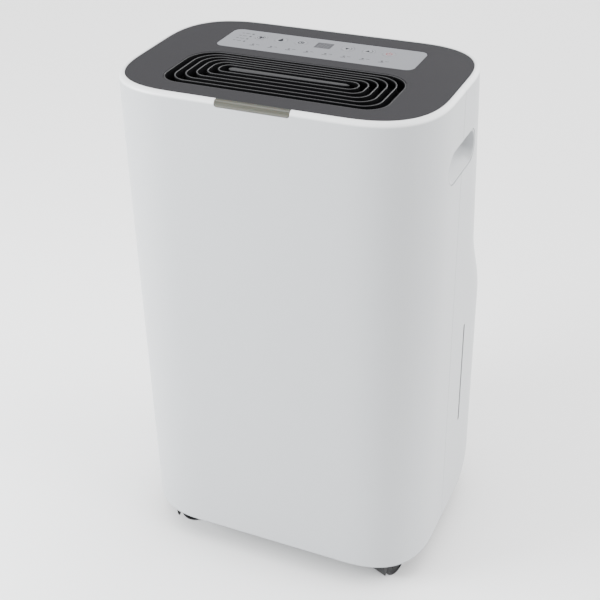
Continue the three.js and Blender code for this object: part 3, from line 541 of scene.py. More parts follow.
# ---- Camera, light and floor ----
VIEW_ANGLES = (24.42, 31.58, -1.32)  # azimuth, elevation and roll in degrees
VIEW_FROM = (0.4706, -1.07774, 1.02774)  # metres
VIEW_LENS = 69.58
VIEW_SHIFT = (0.0021, -0.0077)


def set_camera():
    azimuth, elevation, roll = (math.radians(a) for a in VIEW_ANGLES)
    back = Vector((
        math.sin(azimuth) * math.cos(elevation),
        -math.cos(azimuth) * math.cos(elevation),
        math.sin(elevation),
    ))
    right = Vector((math.cos(azimuth), math.sin(azimuth), 0))
    up = back.cross(right)
    right, up = (
        right * math.cos(roll) + up * math.sin(roll),
        up * math.cos(roll) - right * math.sin(roll),
    )
    data = bpy.data.cameras.new("camera")
    camera = bpy.data.objects.new("camera", data)
    bpy.context.scene.collection.objects.link(camera)
    place = Matrix((right, up, back)).transposed().to_4x4()
    place.translation = Vector(VIEW_FROM)
    camera.matrix_world = place
    data.sensor_width = 36
    data.lens = VIEW_LENS
    data.shift_x, data.shift_y = VIEW_SHIFT
    data.clip_end = 50
    bpy.context.scene.camera = camera


def sun(name, azimuth, elevation, strength, angle, colour=(1, 1, 1)):
    """A soft distant lamp; azimuth 0 shines on the front and 90 on the right side."""
    turn, lift = math.radians(azimuth), math.radians(elevation)
    towards = Vector((
        math.sin(turn) * math.cos(lift), -math.cos(turn) * math.cos(lift), math.sin(lift),
    ))
    data = bpy.data.lights.new(name, "SUN")
    data.energy = strength
    data.angle = math.radians(angle)
    data.color = colour
    lamp = bpy.data.objects.new(name, data)
    lamp.rotation_euler = towards.to_track_quat("Z", "Y").to_euler()
    bpy.context.scene.collection.objects.link(lamp)


def set_light():
    world = bpy.data.worlds.new("studio")
    bpy.context.scene.world = world
    world.use_nodes = True
    sky = world.node_tree.nodes["Background"]
    sky.inputs["Color"].default_value = (1, 1, 1, 1)
    sky.inputs["Strength"].default_value = 0.7
    sun("key", -40, 42, 0.3, 45, (0.985, 0.99, 1))
    sun("fill", 98, 30, 3.4, 50)
    sun("rear", 158, 22, 2.6, 50)
    sun("top", 0, 88, 3.0, 60)
    data = bpy.data.lights.new("left_panel", "AREA")
    data.size = 0.8
    data.energy = 58
    data.color = (0.96, 0.985, 1)
    lamp = bpy.data.objects.new("left_panel", data)
    lamp.location = (-1.25, -1.0, 0.75)
    lamp.rotation_euler = (lamp.location - Vector((0, 0, 0.35))).to_track_quat("Z", "Y").to_euler()
    bpy.context.scene.collection.objects.link(lamp)


def set_floor():
    floor = bpy.data.materials.new("pale_floor")
    floor.use_nodes = True
    shader = floor.node_tree.nodes["Principled BSDF"]
    shader.inputs["Base Color"].default_value = (0.93, 0.93, 0.93, 1)
    shader.inputs["Roughness"].default_value = 0.9
    mesh = bpy.data.meshes.new("floor")
    reach = 14
    mesh.from_pydata(
        [(-reach, -reach, 0), (reach, -reach, 0), (reach, reach, 0), (-reach, reach, 0)], [],
        [(0, 1, 2, 3)],
    )
    made = new_object("floor", mesh)
    made.data.materials.append(floor)


set_camera()
set_light()
set_floor()


# ---- Shells ----
def shell_levels():
    """(z, outer inset, inner inset) from the lower edge up over the rim."""
    levels = [
        (BASE_Z, 2.0, 2.6), (BASE_Z + 0.35, 1.2, 2.9), (BASE_Z + 1.0, 0.5, WALL),
        (BASE_Z + 2.4, 0.0, WALL),
    ]
    levels += [(BASE_Z + FOOT_R * (1 - cosd(a)), 0, WALL) for a in range(20, 91, 7)]
    levels += [(z, 0, WALL) for z in (110, 160, 200, 250, 290)]
    levels += [(z, 0, WALL) for z in range(SHOULDER_LOW_Z, SHOULDER_TOP_Z + 1, 5)]
    levels += [(z, 0, WALL) for z in (410, 440, 480, 520, 560, 590)]
    levels += [(592.5, 0, RIM_WIDTH), (HEIGHT - RIM_R - 0.6, 0, RIM_WIDTH)]
    for a in range(0, 91, 10):
        turn = math.radians(a)
        levels.append((
            HEIGHT - RIM_R + RIM_R * math.sin(turn), RIM_R * (1 - math.cos(turn)), RIM_WIDTH,
        ))
    return levels


def shell(name, front):
    sections = []
    soft = 0.6
    for z, outer, inner in shell_levels():
        loops = []
        for inset in (outer, inner):
            full = casing_outline(z, inset)
            steps = len(full) // 4
            if front:
                points = full[2 * steps:]
                end = SEAM_Y - GAP / 2
            else:
                points = full[:2 * steps]
                end = SEAM_Y + GAP / 2
            loops.append((points, end, HALF - inset))
        (outside, end, half_out), (inside, _, half_in) = loops
        # The seam's edges are rounded over on the outside.
        direction = -1 if front else 1
        first, last = outside[0][0] > 0 and 1 or -1, outside[-1][0] > 0 and 1 or -1
        start_soft = [
            (first * (half_out - soft), end),
            (first * (half_out - 0.3 * soft), end + direction * 0.3 * soft),
            (first * half_out, end + direction * soft),
        ]
        end_soft = [
            (last * half_out, end + direction * soft),
            (last * (half_out - 0.3 * soft), end + direction * 0.3 * soft),
            (last * (half_out - soft), end),
        ]
        outer_path = start_soft + outside + end_soft
        inner_path = (
            [(first * half_in, end)] * 3 + inside + [(last * half_in, end)] * 3
        )
        sections.append((outer_path, inner_path, z))
    count = len(sections[0][0])
    points, faces = [], []
    for outer_path, inner_path, z in sections:
        points += [(x, y, z) for x, y in outer_path] + [(x, y, z) for x, y in inner_path]
    ring = 2 * count
    for level in range(len(sections) - 1):
        low, high = level * ring, (level + 1) * ring
        for k in range(count - 1):
            faces.append((low + k, low + k + 1, high + k + 1, high + k))
            faces.append((low + count + k + 1, low + count + k, high + count + k, high + count + k + 1))
        for k in (0, count - 1):
            faces.append((low + k, low + count + k, high + count + k, high + k))
    for base in (0, (len(sections) - 1) * ring):
        for k in range(count - 1):
            faces.append((base + k, base + k + 1, base + count + k + 1, base + count + k))
    return tidy_mesh(name, points, faces, 30)


POCKET = {"y": SEAM_Y, "z": 525, "length": 92, "height": 38, "depth": 30}


def pocket_cutter(side):
    cutter = prism(
        "cutter", stadium(POCKET["y"], POCKET["z"], POCKET["length"], POCKET["height"]), 150, 195,
    )
    turn_sideways(cutter)
    return cutter if side > 0 else mirror_x(cutter)


BAR_HALF = 40.5
BAR_BOTTOM = 593


def bar_notch():
    outline = round_rect(-BAR_HALF - 0.1, BAR_HALF + 0.1, BAR_BOTTOM - 0.1, HEIGHT + 20, 3, 8)
    return turn_upright(prism("cutter", outline, -(FRONT_Y + RIM_WIDTH + 0.2), -FRONT_Y + 5))


front = shell("front_shell_look", True)
carve(front, [pocket_cutter(1), pocket_cutter(-1), bar_notch()])
bevelled(front, 0.35)
piece(front, "housing", "white_plastic", WHITE, "front_shell")

LEVEL_Y, LEVEL_LOW, LEVEL_HIGH = FRONT_Y + 170, 152, 291
INTAKE = {"half": 130, "bottom": 378, "top": 560}
FASCIA = {"half": 140.5, "bottom": 48, "top": 345}
rear = shell("rear_shell_look", False)
level_cut = round_rect(LEVEL_Y - 2.5, LEVEL_Y + 2.5, LEVEL_LOW, LEVEL_HIGH, 2.49, 8)
cutters = [
    pocket_cutter(1),
    pocket_cutter(-1),
    turn_sideways(prism("cutter", level_cut, 130, 195)),
    turn_upright(prism(
        "cutter", round_rect(-INTAKE["half"], INTAKE["half"], INTAKE["bottom"], INTAKE["top"], 1.2, 5),
        -200, -60,
    )),
    turn_upright(prism(
        "cutter",
        round_rect(
            -FASCIA["half"] - 1, FASCIA["half"] + 1, FASCIA["bottom"] - 1, FASCIA["top"] + 1, 2, 5,
        ),
        -200, -90,
    )),
    turn_sideways(prism("cutter", circle(60, 120, 6.2), -190, -160)),
    turn_sideways(prism("cutter", circle(60, 80, 5.2), -190, -160)),
]
carve(rear, cutters)
bevelled(rear, 0.35)
piece(rear, "housing", "white_plastic", WHITE, "rear_shell")


# ---- Finger pockets: smooth scoops with a rounded lip ----
def pocket_depth(y, z):
    """The scoop is deep under its upper edge and runs out to its lower lip; a tongue stands at the seam."""
    low, high = POCKET["z"] - POCKET["height"] / 2, POCKET["z"] + POCKET["height"] / 2
    deep = 7.5 + (POCKET["depth"] - 10) * smoothstep(z, low + 2, high - 11)
    rise = (z - low) / (high - low)
    tongue = math.exp(-(((y - POCKET["y"]) / 8.5) ** 4))
    return deep * (1 - tongue * (0.35 + 0.58 * rise))


def pocket(name, side):
    mouth = HALF - 0.45
    length, height = POCKET["length"] - 2 * GAP, POCKET["height"] - 2 * GAP

    def ring(inset, x=None, share=1.0):
        points = stadium(POCKET["y"], POCKET["z"], length - 2 * inset, height - 2 * inset, 24)
        if x is not None:
            return [(x, y, z) for y, z in points]
        return [(mouth - 1.2 - (pocket_depth(y, z) - 1.2) * share, y, z) for y, z in points]

    inside = [ring(0, mouth - 2)]
    for a in range(0, 91, 15):
        t = math.radians(a)
        inside.append(ring(1.2 * (1 - math.cos(t)), mouth - 1.2 + 1.2 * math.sin(t)))
    for a in range(15, 91, 15):
        t = math.radians(a)
        inside.append(ring(1.2 + 1.2 * math.sin(t), mouth - 1.2 * (1 - math.cos(t))))
    for k in range(1, 13):
        inset = 2.4 + 9 * k / 12
        inside.append(ring(inset, None, 1 - (1 - k / 12) ** 2.6))
    inside += [ring(inset) for inset in (13, 15, 17, 18.4)]
    floor = mouth - POCKET["depth"]
    outside = [ring(6, floor + 0.3), ring(2, floor + 2), ring(0.4, floor + 6)]
    made = cup(name, inside, outside)
    return made if side > 0 else mirror_x(made)


piece(pocket("right_pocket_look", 1), "housing", "white_plastic", WHITE, "right_handle_cup")
piece(pocket("left_pocket_look", -1), "housing", "white_plastic", WHITE, "left_handle_cup")


# ---- Top panel and outlet ----
OUTLET = {"half": 123.5, "front": FRONT_Y + 30.5, "rear": FRONT_Y + 127, "front_r": 24, "rear_r": 32}
STRIP_TOP = 599.4
STRIP_Y = FRONT_Y + 201.5 - 28.5
KEY_Y = STRIP_Y + 10
KEY_X = (-75, -51, -27, 28, 52, 75)
KEY_NAMES = ("timer", "mode", "fan_speed", "humidity_down", "humidity_up", "power")


def outlet_outline(inset, steps=16):
    return round_rect(
        -OUTLET["half"] + inset, OUTLET["half"] - inset,
        OUTLET["front"] + inset, OUTLET["rear"] - inset,
        OUTLET["front_r"] - inset, steps, 2.0, OUTLET["rear_r"] - inset,
    )


def strip_outline(inset, steps=10):
    half, middle = 113.75 - inset, 28.5 - inset
    return round_rect(-half, half, STRIP_Y - middle, STRIP_Y + middle, 9 - inset, steps)


def top_panel():
    top = HEIGHT - GAP
    cover = plate(
        "cover", casing_outline(HEIGHT, RIM_WIDTH + GAP), [outlet_outline(0), strip_outline(-GAP)],
        top - 4, top, 0.5,
    )
    skirt = plate(
        "skirt", casing_outline(HEIGHT, RIM_WIDTH + GAP), [casing_outline(HEIGHT, RIM_WIDTH + 2.8)],
        589, top - 4, 0.1, 1,
    )
    well = plate("well", outlet_outline(-2), [outlet_outline(0)], 589, top - 4, 0.1, 1)
    seat = plate("seat", strip_outline(-2), [strip_outline(4)], 589, top - 4, 0.1, 1)
    return join("top_panel_look", [cover, skirt, well, seat])


piece(top_panel(), "housing", "panel_plastic", PANEL, "top_panel")


def blade_outline(index, offset, steps=12):
    half = 113.3 - 9 * index + offset
    low = FRONT_Y + 40.5 + 9 * index - offset
    high = FRONT_Y + 120.5 - 6 * index + offset
    return round_rect(
        -half, half, low, high, 19 - 2.5 * index + offset, steps, 2.0, 26 - 4 * index + offset,
    )


def outlet_grille():
    parts = [plate("frame", outlet_outline(GAP), [outlet_outline(GAP + 1.5)], 586.1, 599.2, 0.4)]
    for index in range(5):
        parts.append(plate(
            "blade", blade_outline(index, 0.75), [blade_outline(index, -0.75)], 589, 598.9, 0.55,
        ))
    bar_y = FRONT_Y + 87.3
    centre = [
        (-64, bar_y - 3.7), (64, bar_y - 2.2), (68.5, bar_y), (64, bar_y + 2.2), (-64, bar_y + 3.7),
        (-68.5, bar_y),
    ]
    parts.append(plate("bar", soften(centre, 4), [], 589, 598.9, 1.4, 5))
    for x in (-90, -45, 0, 45, 90):
        parts.append(plate(
            "rib", round_rect(x - 1.2, x + 1.2, OUTLET["front"] + 1, OUTLET["rear"] - 1, 0.2, 2), [],
            586.5, 590, 0.2,
        ))
    parts.append(plate(
        "rib", round_rect(-122.4, 122.4, bar_y - 1.2, bar_y + 1.2, 0.2, 2), [], 586.4, 590.1, 0.2,
    ))
    return join("outlet_grille_look", parts)


louvres = piece(outlet_grille(), "housing", "black_plastic", LOUVRE, "outlet_grille")
# Painted highlight: the upward faces at the blade tops take the lighter grey.
louvres.data.materials.append(LOUVRE_TOP_HIGHLIGHT)
for face in louvres.data.polygons:
    if face.normal.z > 0.35 and face.center.z > 597.8 * MM:
        face.material_index = 1

# ---- Control strip, keys and printed signs ----
LAMPS = [(x, STRIP_Y - 12.5) for x in (-74.5, -53, -31.7, -10.4, 11, 32.2, 53.5, 75)]
LAMPS += [(-88, STRIP_Y + dy) for dy in (17, 9, 1, -7)]


def display_outline(clearance, steps=4):
    return round_rect(
        -9.3 - clearance, 9.3 + clearance, KEY_Y - 8 - clearance, KEY_Y + 8 + clearance, 1, steps,
    )


strip_holes = [circle(x, KEY_Y, 7.25, 64) for x in KEY_X]
strip_holes += [circle(x, y, 1.5, 24) for x, y in LAMPS]
strip_holes.append(display_outline(0.15))
piece(
    plate("control_strip_look", strip_outline(0), strip_holes, STRIP_TOP - 2, STRIP_TOP, 0.18, 2),
    "housing", "strip_plastic", STRIP, "control_strip",
)
piece(
    plate("display_window_look", display_outline(0), [], STRIP_TOP - 3, STRIP_TOP - 0.1, 0.15, 2),
    "housing", "display_plastic", WINDOW, "display_window",
)


def lamp_guide():
    parts = [plate(
        "web", round_rect(
            -90.4, 79.9, STRIP_Y - 14.9, STRIP_Y - 10.1, 0.5, 3,
        ), [], 595.2, 596.8, 0.2, 1,
    )]
    parts.append(plate(
        "web", round_rect(-90.4, -85.6, STRIP_Y - 14.9, STRIP_Y + 19.9, 0.5, 3), [], 595.3, 596.9, 0.2,
        1,
    ))
    dome = [(0, 595.6), (1.25, 595.6), (1.25, 598.9), (1.1, 599.2), (0.6, 599.33), (0, 599.35)]
    parts += [lathe("pip", dome, 20, (x, y, 0)) for x, y in LAMPS]
    return join("lamp_guide_look", parts)


piece(lamp_guide(), "housing", "frosted_plastic", PIP, "lamp_guide")


def bar_shape(x0, y0, x1, y1, width):
    """A straight stroke with round ends."""
    length = math.hypot(x1 - x0, y1 - y0)
    angle = math.atan2(y1 - y0, x1 - x0)
    points = []
    for cx, start in ((length, -90), (0, 90)):
        for k in range(7):
            a = math.radians(start + 30 * k)
            points.append((cx + width / 2 * math.cos(a), width / 2 * math.sin(a)))
    c, s = math.cos(angle), math.sin(angle)
    return [(x0 + c * x - s * y, y0 + s * x + c * y) for x, y in points]


def ring_shape(radius, width, start=0, end=360, steps=40):
    """A ring or arc stroke as one outline, or an outline and a hole."""
    if end - start >= 360:
        return circle(0, 0, radius + width / 2, steps), [circle(0, 0, radius - width / 2, steps)]
    outer = []
    for r, turns in (
        (radius + width / 2, range(steps + 1)), (radius - width / 2, range(steps, -1, -1)),
    ):
        for k in turns:
            a = math.radians(start + (end - start) * k / steps)
            outer.append((r * math.cos(a), r * math.sin(a)))
    return outer, []


def fan_sign():
    shapes = [ring_shape(4.6, 0.5)]
    for turn in (0, 120, 240):
        blade = [(
            0.6 + 3 * k / 8, 2.1 * math.sin(math.pi * k / 8) * (1.2 - 0.05 * k),
        ) for k in range(9)]
        blade += [(3.6 - 3 * k / 8, -0.9 * math.sin(math.pi * k / 8)) for k in range(1, 8)]
        a = math.radians(turn)
        shapes.append((
            [(x * math.cos(a) - y * math.sin(a), x * math.sin(a) + y * math.cos(a)) for x, y in blade],
            [],
        ))
    shapes.append((circle(0, 0, 1.3, 20), []))
    return shapes


def drop_sign():
    outline = []
    for k in range(40):
        a = 2 * math.pi * k / 40
        rise = max(0, math.sin(a))
        outline.append((2.9 * math.cos(a) * (1 - 0.25 * rise), 2.8 * math.sin(a) + 3.4 * rise**5 - 1))
    return [(outline, [])]


def clock_sign():
    return [ring_shape(3.2, 1), (bar_shape(0, 0, 0, 2.2, 1), []), (bar_shape(0, 0, 1.7, 0, 1), [])]


def arrow_sign(direction):
    tip = 3.4 * direction
    outline = [(-3.6, -tip * 0.5), (1.4, -tip * 0.5), (-1.1, tip * 0.85)]
    return [(outline[::direction], []), ring_shape(4.4, 0.7, -60, 60, 16)]


def power_sign():
    return [ring_shape(3.1, 1.1, 120, 420, 30), (bar_shape(0, 0.8, 0, 4.2, 1.1), [])]


def sign(name, shapes, x, y, z, surface, body, lift=0.06, slot="key_plastic"):
    parts = [plate("stroke", outline, holes, -0.1, lift, 0.01, 1) for outline, holes in shapes]
    made = join(name, parts)
    made.data.transform(Matrix.Translation((x * MM, y * MM, z * MM)))
    return piece(made, body, slot, surface)


SIGNS = (fan_sign(), drop_sign(), clock_sign(), arrow_sign(-1), arrow_sign(1), power_sign())
KEY_TOP = STRIP_TOP + 0.2
for name, x, shapes in zip(KEY_NAMES, KEY_X, SIGNS):
    profile = [
        (0, KEY_TOP - 8), (2, KEY_TOP - 8), (2, KEY_TOP - 3.4), (6.9, KEY_TOP - 3.4),
        (6.98, KEY_TOP - 3.2),
        (6.98, KEY_TOP - 0.35), (6.9, KEY_TOP - 0.18), (6.7, KEY_TOP - 0.1), (5.6, KEY_TOP - 0.1),
        (4, KEY_TOP - 0.16),
        (0, KEY_TOP - 0.2),
    ]
    body = f"{name}_button"
    piece(
        lathe(f"{name}_key_look", profile, 64, (x, KEY_Y, 0)), body, "key_plastic", KEY, f"{name}_key",
    )
    surface = RED_PRINT if name == "power" else PRINT
    sign(f"{name}_sign", shapes, x, KEY_Y, KEY_TOP - 0.16, surface, body)


def digit_segments():
    """Two figure eights of seven slanted segments each."""
    shapes = []
    for cx in (-3.6, 3.6):
        w, h = 2.1, 2.7
        ends = [
            (-w, h * 2, w, h * 2), (-w, 0, w, 0), (-w, -h * 2, w, -h * 2),
            (-w, 0, -w, h * 2), (w, 0, w, h * 2), (-w, -h * 2, -w, 0), (w, -h * 2, w, 0),
        ]
        for x0, y0, x1, y1 in ends:
            dx, dy = (x1 - x0) * 0.14, (y1 - y0) * 0.1
            a = (x0 + dx + y0 * 0.08, y0 + dy)
            b = (x1 - dx + y1 * 0.08, y1 - dy)
            shapes.append((bar_shape(cx + a[0], a[1], cx + b[0], b[1], 0.8), []))
    return shapes


sign(
    "display_digits", digit_segments(), 0, KEY_Y, STRIP_TOP - 0.12, DIGIT, "housing", 0.05,
    "display_plastic",
)

# Plain dashes beside the lamps stand where the real ones are marked.
dashes = []
for x, y in LAMPS[:8]:
    dashes += [
        (bar_shape(x - 2.6, y - 3.6, x + 2.6, y - 3.6, 0.8), []),
        (bar_shape(x + 4, y, x + 7.4, y, 0.7), []),
    ]
for x, y in LAMPS[8:]:
    dashes += [(bar_shape(x - 9, y, x - 4.2, y, 0.8), []), (bar_shape(x - 13.5, y, x - 11, y, 0.8), [])]
sign("lamp_dashes", dashes, 0, 0, STRIP_TOP - 0.03, PRINT, "housing", 0.05, "strip_plastic")


# ---- Light bar in the rim ----
def light_bar():
    half = BAR_HALF - GAP
    low = BAR_BOTTOM + GAP
    start = HEIGHT - RIM_R
    sections = []
    count = 80
    for k in range(count + 1):
        x = -half * math.cos(math.pi * k / count)
        over = max(0, abs(x) - (half - 3))
        bottom = low + 3 - math.sqrt(max(0, 9 - over**2))
        top = HEIGHT - 0.35 * smoothstep(abs(x), half - 0.6, half)
        section = []
        for j in range(17):
            z = bottom + (top - bottom) * math.sin(math.pi / 2 * j / 16)
            rise = max(0, z - start) / RIM_R
            y = FRONT_Y + RIM_R * (1 - math.sqrt(max(0, 1 - min(1, rise) ** 2)))
            section.append((x, y, z))
        section += [
            (x, FRONT_Y + RIM_WIDTH - 0.3, top), (x, FRONT_Y + RIM_WIDTH, top - 0.3),
            (x, FRONT_Y + RIM_WIDTH, bottom),
        ]
        sections.append(section)
    return loft("light_bar_look", sections, True, 40)


piece(light_bar(), "housing", "lens_plastic", LENS, "humidity_light_bar")


# ---- Level window ----
def level_window():
    strip = plate(
        "strip", round_rect(
            LEVEL_Y - 2.3, LEVEL_Y + 2.3, LEVEL_LOW + 0.2, LEVEL_HIGH - 0.2, 2.29, 10,
        ), [],
        HALF - 5, HALF - 0.35, 0.3, 2,
    )
    flange = plate(
        "flange", round_rect(LEVEL_Y - 7, LEVEL_Y + 7, LEVEL_LOW - 5, LEVEL_HIGH + 5, 2, 4), [],
        HALF - 5.8, HALF - 3.9, 0.2, 1,
    )
    return turn_sideways(join("level_window_look", [strip, flange]))


piece(level_window(), "housing", "smoke_plastic", SMOKE, "level_window")


# ---- Rear panels that follow the casing ----
def rear_panel(name, half, bottom, top, thick, edge=1.2, columns=72):
    """A closed curved panel with rounded edges; it follows the rear face."""
    rows = [bottom + edge * (1 - cosd(a)) for a in (0, 30, 60, 90)]
    steps = max(6, int((top - bottom) / 7))
    rows += [bottom + edge + (top - bottom - 2 * edge) * k / steps for k in range(1, steps)]
    rows += [top - edge * (1 - cosd(a)) for a in (90, 60, 30, 0)]
    cols = [-half + edge * (1 - cosd(a)) for a in (0, 30, 60, 90)]
    cols += [(-half + edge) * math.cos(math.pi * k / columns) for k in range(1, columns)]
    cols += [half - edge * (1 - cosd(a)) for a in (90, 60, 30, 0)]

    def near(value, low, high):
        gap = min(value - low, high - value)
        return edge - math.sqrt(max(0, edge**2 - max(0, edge - gap) ** 2))

    points = []
    for z in rows:
        for x in cols:
            drop = max(near(z, bottom, top), near(x, -half, half))
            points.append((x, rear_skin(x, z, 0) - drop, z))
    for z in rows:
        for x in cols:
            points.append((x, rear_skin(x, z, thick), z))
    width, size = len(cols), len(cols) * len(rows)
    faces = []
    for r in range(len(rows) - 1):
        for c in range(width - 1):
            a = r * width + c
            faces.append((a, a + 1, a + width + 1, a + width))
            faces.append((size + a, size + a + width, size + a + width + 1, size + a + 1))
    for c in range(width - 1):
        faces.append((c, size + c, size + c + 1, c + 1))
        a = size - width + c
        faces.append((a, a + 1, size + a + 1, size + a))
    for r in range(len(rows) - 1):
        a = r * width
        faces.append((a, a + width, size + a + width, size + a))
        b = a + width - 1
        faces.append((b, size + b, size + b + width, b + width))
    return mesh_from(name, points, faces, 40)


def intake():
    half = INTAKE["half"] - 0.7
    low, high = INTAKE["bottom"] + 0.7, INTAKE["top"] - 0.7
    panel = rear_panel("intake_grille_look", half, low, high, 3, 0.8, 48)
    rows, columns, border = 13, 3, 9
    pitch_z = (INTAKE["top"] - INTAKE["bottom"] - 2 * border) / rows
    pitch_x = (2 * half - 2 * border) / columns
    slots = []
    for row in range(rows):
        for column in range(columns):
            x = -half + border + column * pitch_x
            z = INTAKE["bottom"] + border + row * pitch_z
            outline = round_rect(x + 1.8, x + pitch_x - 1.8, z + 3, z + pitch_z, 2, 4)
            slots.append(turn_upright(prism("cutter", outline, -200, -60)))
    return carve(panel, [join("cutters", slots)])


piece(bevelled(intake(), 0.4, 2), "intake_door", "white_plastic", WHITE, "intake_grille")

GRIP = {"half": 57, "bottom": 300, "top": 330, "depth": 20}


def fascia():
    panel = rear_panel("tank_fascia_look", FASCIA["half"], FASCIA["bottom"], FASCIA["top"], 3, 1.5)
    outline = round_rect(-GRIP["half"], GRIP["half"], GRIP["bottom"], GRIP["top"], 10, 10)
    return carve(panel, [turn_upright(prism("cutter", outline, -200, -100))])


piece(bevelled(fascia(), 0.7, 3), "tank", "white_plastic", WHITE, "tank_fascia")


def grip_cup():
    """The scoop behind the fascia's grip hole."""
    back = rear_at(GRIP["bottom"]) - GRIP["depth"]

    def ring(inset, depth):
        points = round_rect(
            -GRIP["half"] + inset, GRIP["half"] - inset, GRIP["bottom"] + inset, GRIP["top"] - inset,
            max(1.5, 10 - inset), 10,
        )
        return [(x, min(depth, rear_skin(x, z, 1.0)), z) for x, z in points]

    inside = [ring(-0.4, 200)]
    for a in range(0, 91, 10):
        t = math.radians(a)
        inside.append(ring(-0.4 + 7 * (1 - math.cos(t)), back + 7 * (1 - math.sin(t))))
    outside = [ring(5, back - 1.8), ring(0, back + 1), ring(-1.8, back + 5)]
    outside.append([(x, y - 0.2, z) for x, y, z in ring(-2, 200)])
    return cup("tank_grip_look", inside, outside)


piece(grip_cup(), "tank", "white_plastic", WHITE)


# ---- Base tray and tank bay ----
CASTER_PLACES = {
    "front_left": (-135, -108, 24),
    "front_right": (135, -108, 68),
    "rear_left": (-135, 80, 40),
    "rear_right": (135, 80, 62),
}
BAY = {"half": 143.5, "front": 5, "rear": 100, "floor": 53, "ceiling": 357, "wall": 2.5}
COMPRESSOR = {"x": 92, "y": -78, "bottom": 66, "top": 262, "radius": 52}
FEET = [
    (
        COMPRESSOR["x"] + (COMPRESSOR["radius"] + 4) * cosd(turn),
        COMPRESSOR["y"] + (COMPRESSOR["radius"] + 4) * sind(turn),
    )
    for turn in (90, 210, 330)
]


def base_tray():
    def outline(inset):
        half = HALF - inset
        return round_rect(-half, half, FRONT_Y + inset, 108 - inset, CORNER_R - inset, 24, CORNER_POWER)

    high = BAY["floor"] - BAY["wall"] - GAP
    parts = [
        plate(
            "floor", outline(WALL + 0.6), [circle(x, y, 4.4, 32) for x, y, _ in CASTER_PLACES.values()],
            BASE_Z + 1, BASE_Z + 4, 0.8, 3,
        ),
        plate("rim", outline(WALL + 0.6), [outline(WALL + 3.1)], BASE_Z + 2, high, 0.6, 3),
    ]
    for x, y, _ in CASTER_PLACES.values():
        parts.append(plate(
            "boss", circle(x, y, 9, 40), [circle(x, y, 4.4, 32)], BASE_Z + 3, high, 0.5, 2,
        ))
    for x, y in FEET:
        parts.append(plate(
            "post", circle(x, y, 8, 40), [], BASE_Z + 3, COMPRESSOR["bottom"] + 2 - GAP, 0.8, 2,
        ))
    for x in (-100, -60, -20, 20, 60, 100):
        parts.append(block("rib", x - 1, x + 1, -120, 90, BASE_Z + 3.5, BASE_Z + 8))
    for y in (-90, -40, 10, 60):
        parts.append(block("rib", -140, 140, y - 1, y + 1, BASE_Z + 3.4, BASE_Z + 7.9))
    return join("base_tray_look", parts)


piece(base_tray(), "housing", "black_plastic", BLACK, "base_tray")


def tank_bay():
    half, wall = BAY["half"], BAY["wall"]
    outer = block(
        "tank_bay_look", -half - wall, half + wall, BAY["front"] - wall, BAY["rear"],
        BAY["floor"] - wall, BAY["ceiling"] + wall,
    )
    cutters = [
        block("cutter", -half, half, BAY["front"], 300, BAY["floor"], BAY["ceiling"]),
        prism("cutter", circle(0, 45, 7, 40), BAY["ceiling"] - 1, 370),
        block("cutter", 130, 160, LEVEL_Y - 6, LEVEL_Y + 6, LEVEL_LOW, LEVEL_HIGH),
    ]
    return carve(outer, cutters)


piece(bevelled(tank_bay(), 0.8, 3), "housing", "black_plastic", BLACK, "tank_bay")


def drip_tray():
    low = BAY["ceiling"] + BAY["wall"] + GAP
    tray = prism("drip_tray_look", round_rect(-135, 135, 14, 82, 3, 6), low, 374)
    carve(tray, [prism("cutter", round_rect(-132.5, 132.5, 16.5, 79.5, 2, 6), low + 2.5, 380)])
    carve(tray, [prism("spout", circle(0, 45, 6, 40), 350, low + 1)], "UNION")
    return carve(tray, [prism("cutter", circle(0, 45, 4.2, 40), 349, 380)])


piece(bevelled(drip_tray(), 0.5), "housing", "black_plastic", BLACK, "drip_tray")


# ---- Refrigeration circuit ----
def curve_through(stops, steps=60, tension=0.4):
    """A smooth path through points in millimetres."""
    stops = [Vector(p) for p in stops]
    stops = [2 * stops[0] - stops[1], *stops, 2 * stops[-1] - stops[-2]]
    pieces = len(stops) - 3
    path = []
    for k in range(steps + 1):
        place = min(k / steps * pieces, pieces - 1e-9)
        i, t = int(place), place - int(place)
        before, start, end, after = stops[i:i + 4]
        lead, trail = tension * (end - before), tension * (after - start)
        path.append(tuple(
            (2 * t**3 - 3 * t**2 + 1) * start + (t**3 - 2 * t**2 + t) * lead
            + (3 * t**2 - 2 * t**3) * end + (t**3 - t**2) * trail
        ))
    return path


COIL_HALF, COIL_LOW, COIL_HIGH = 118, 363.2, 552


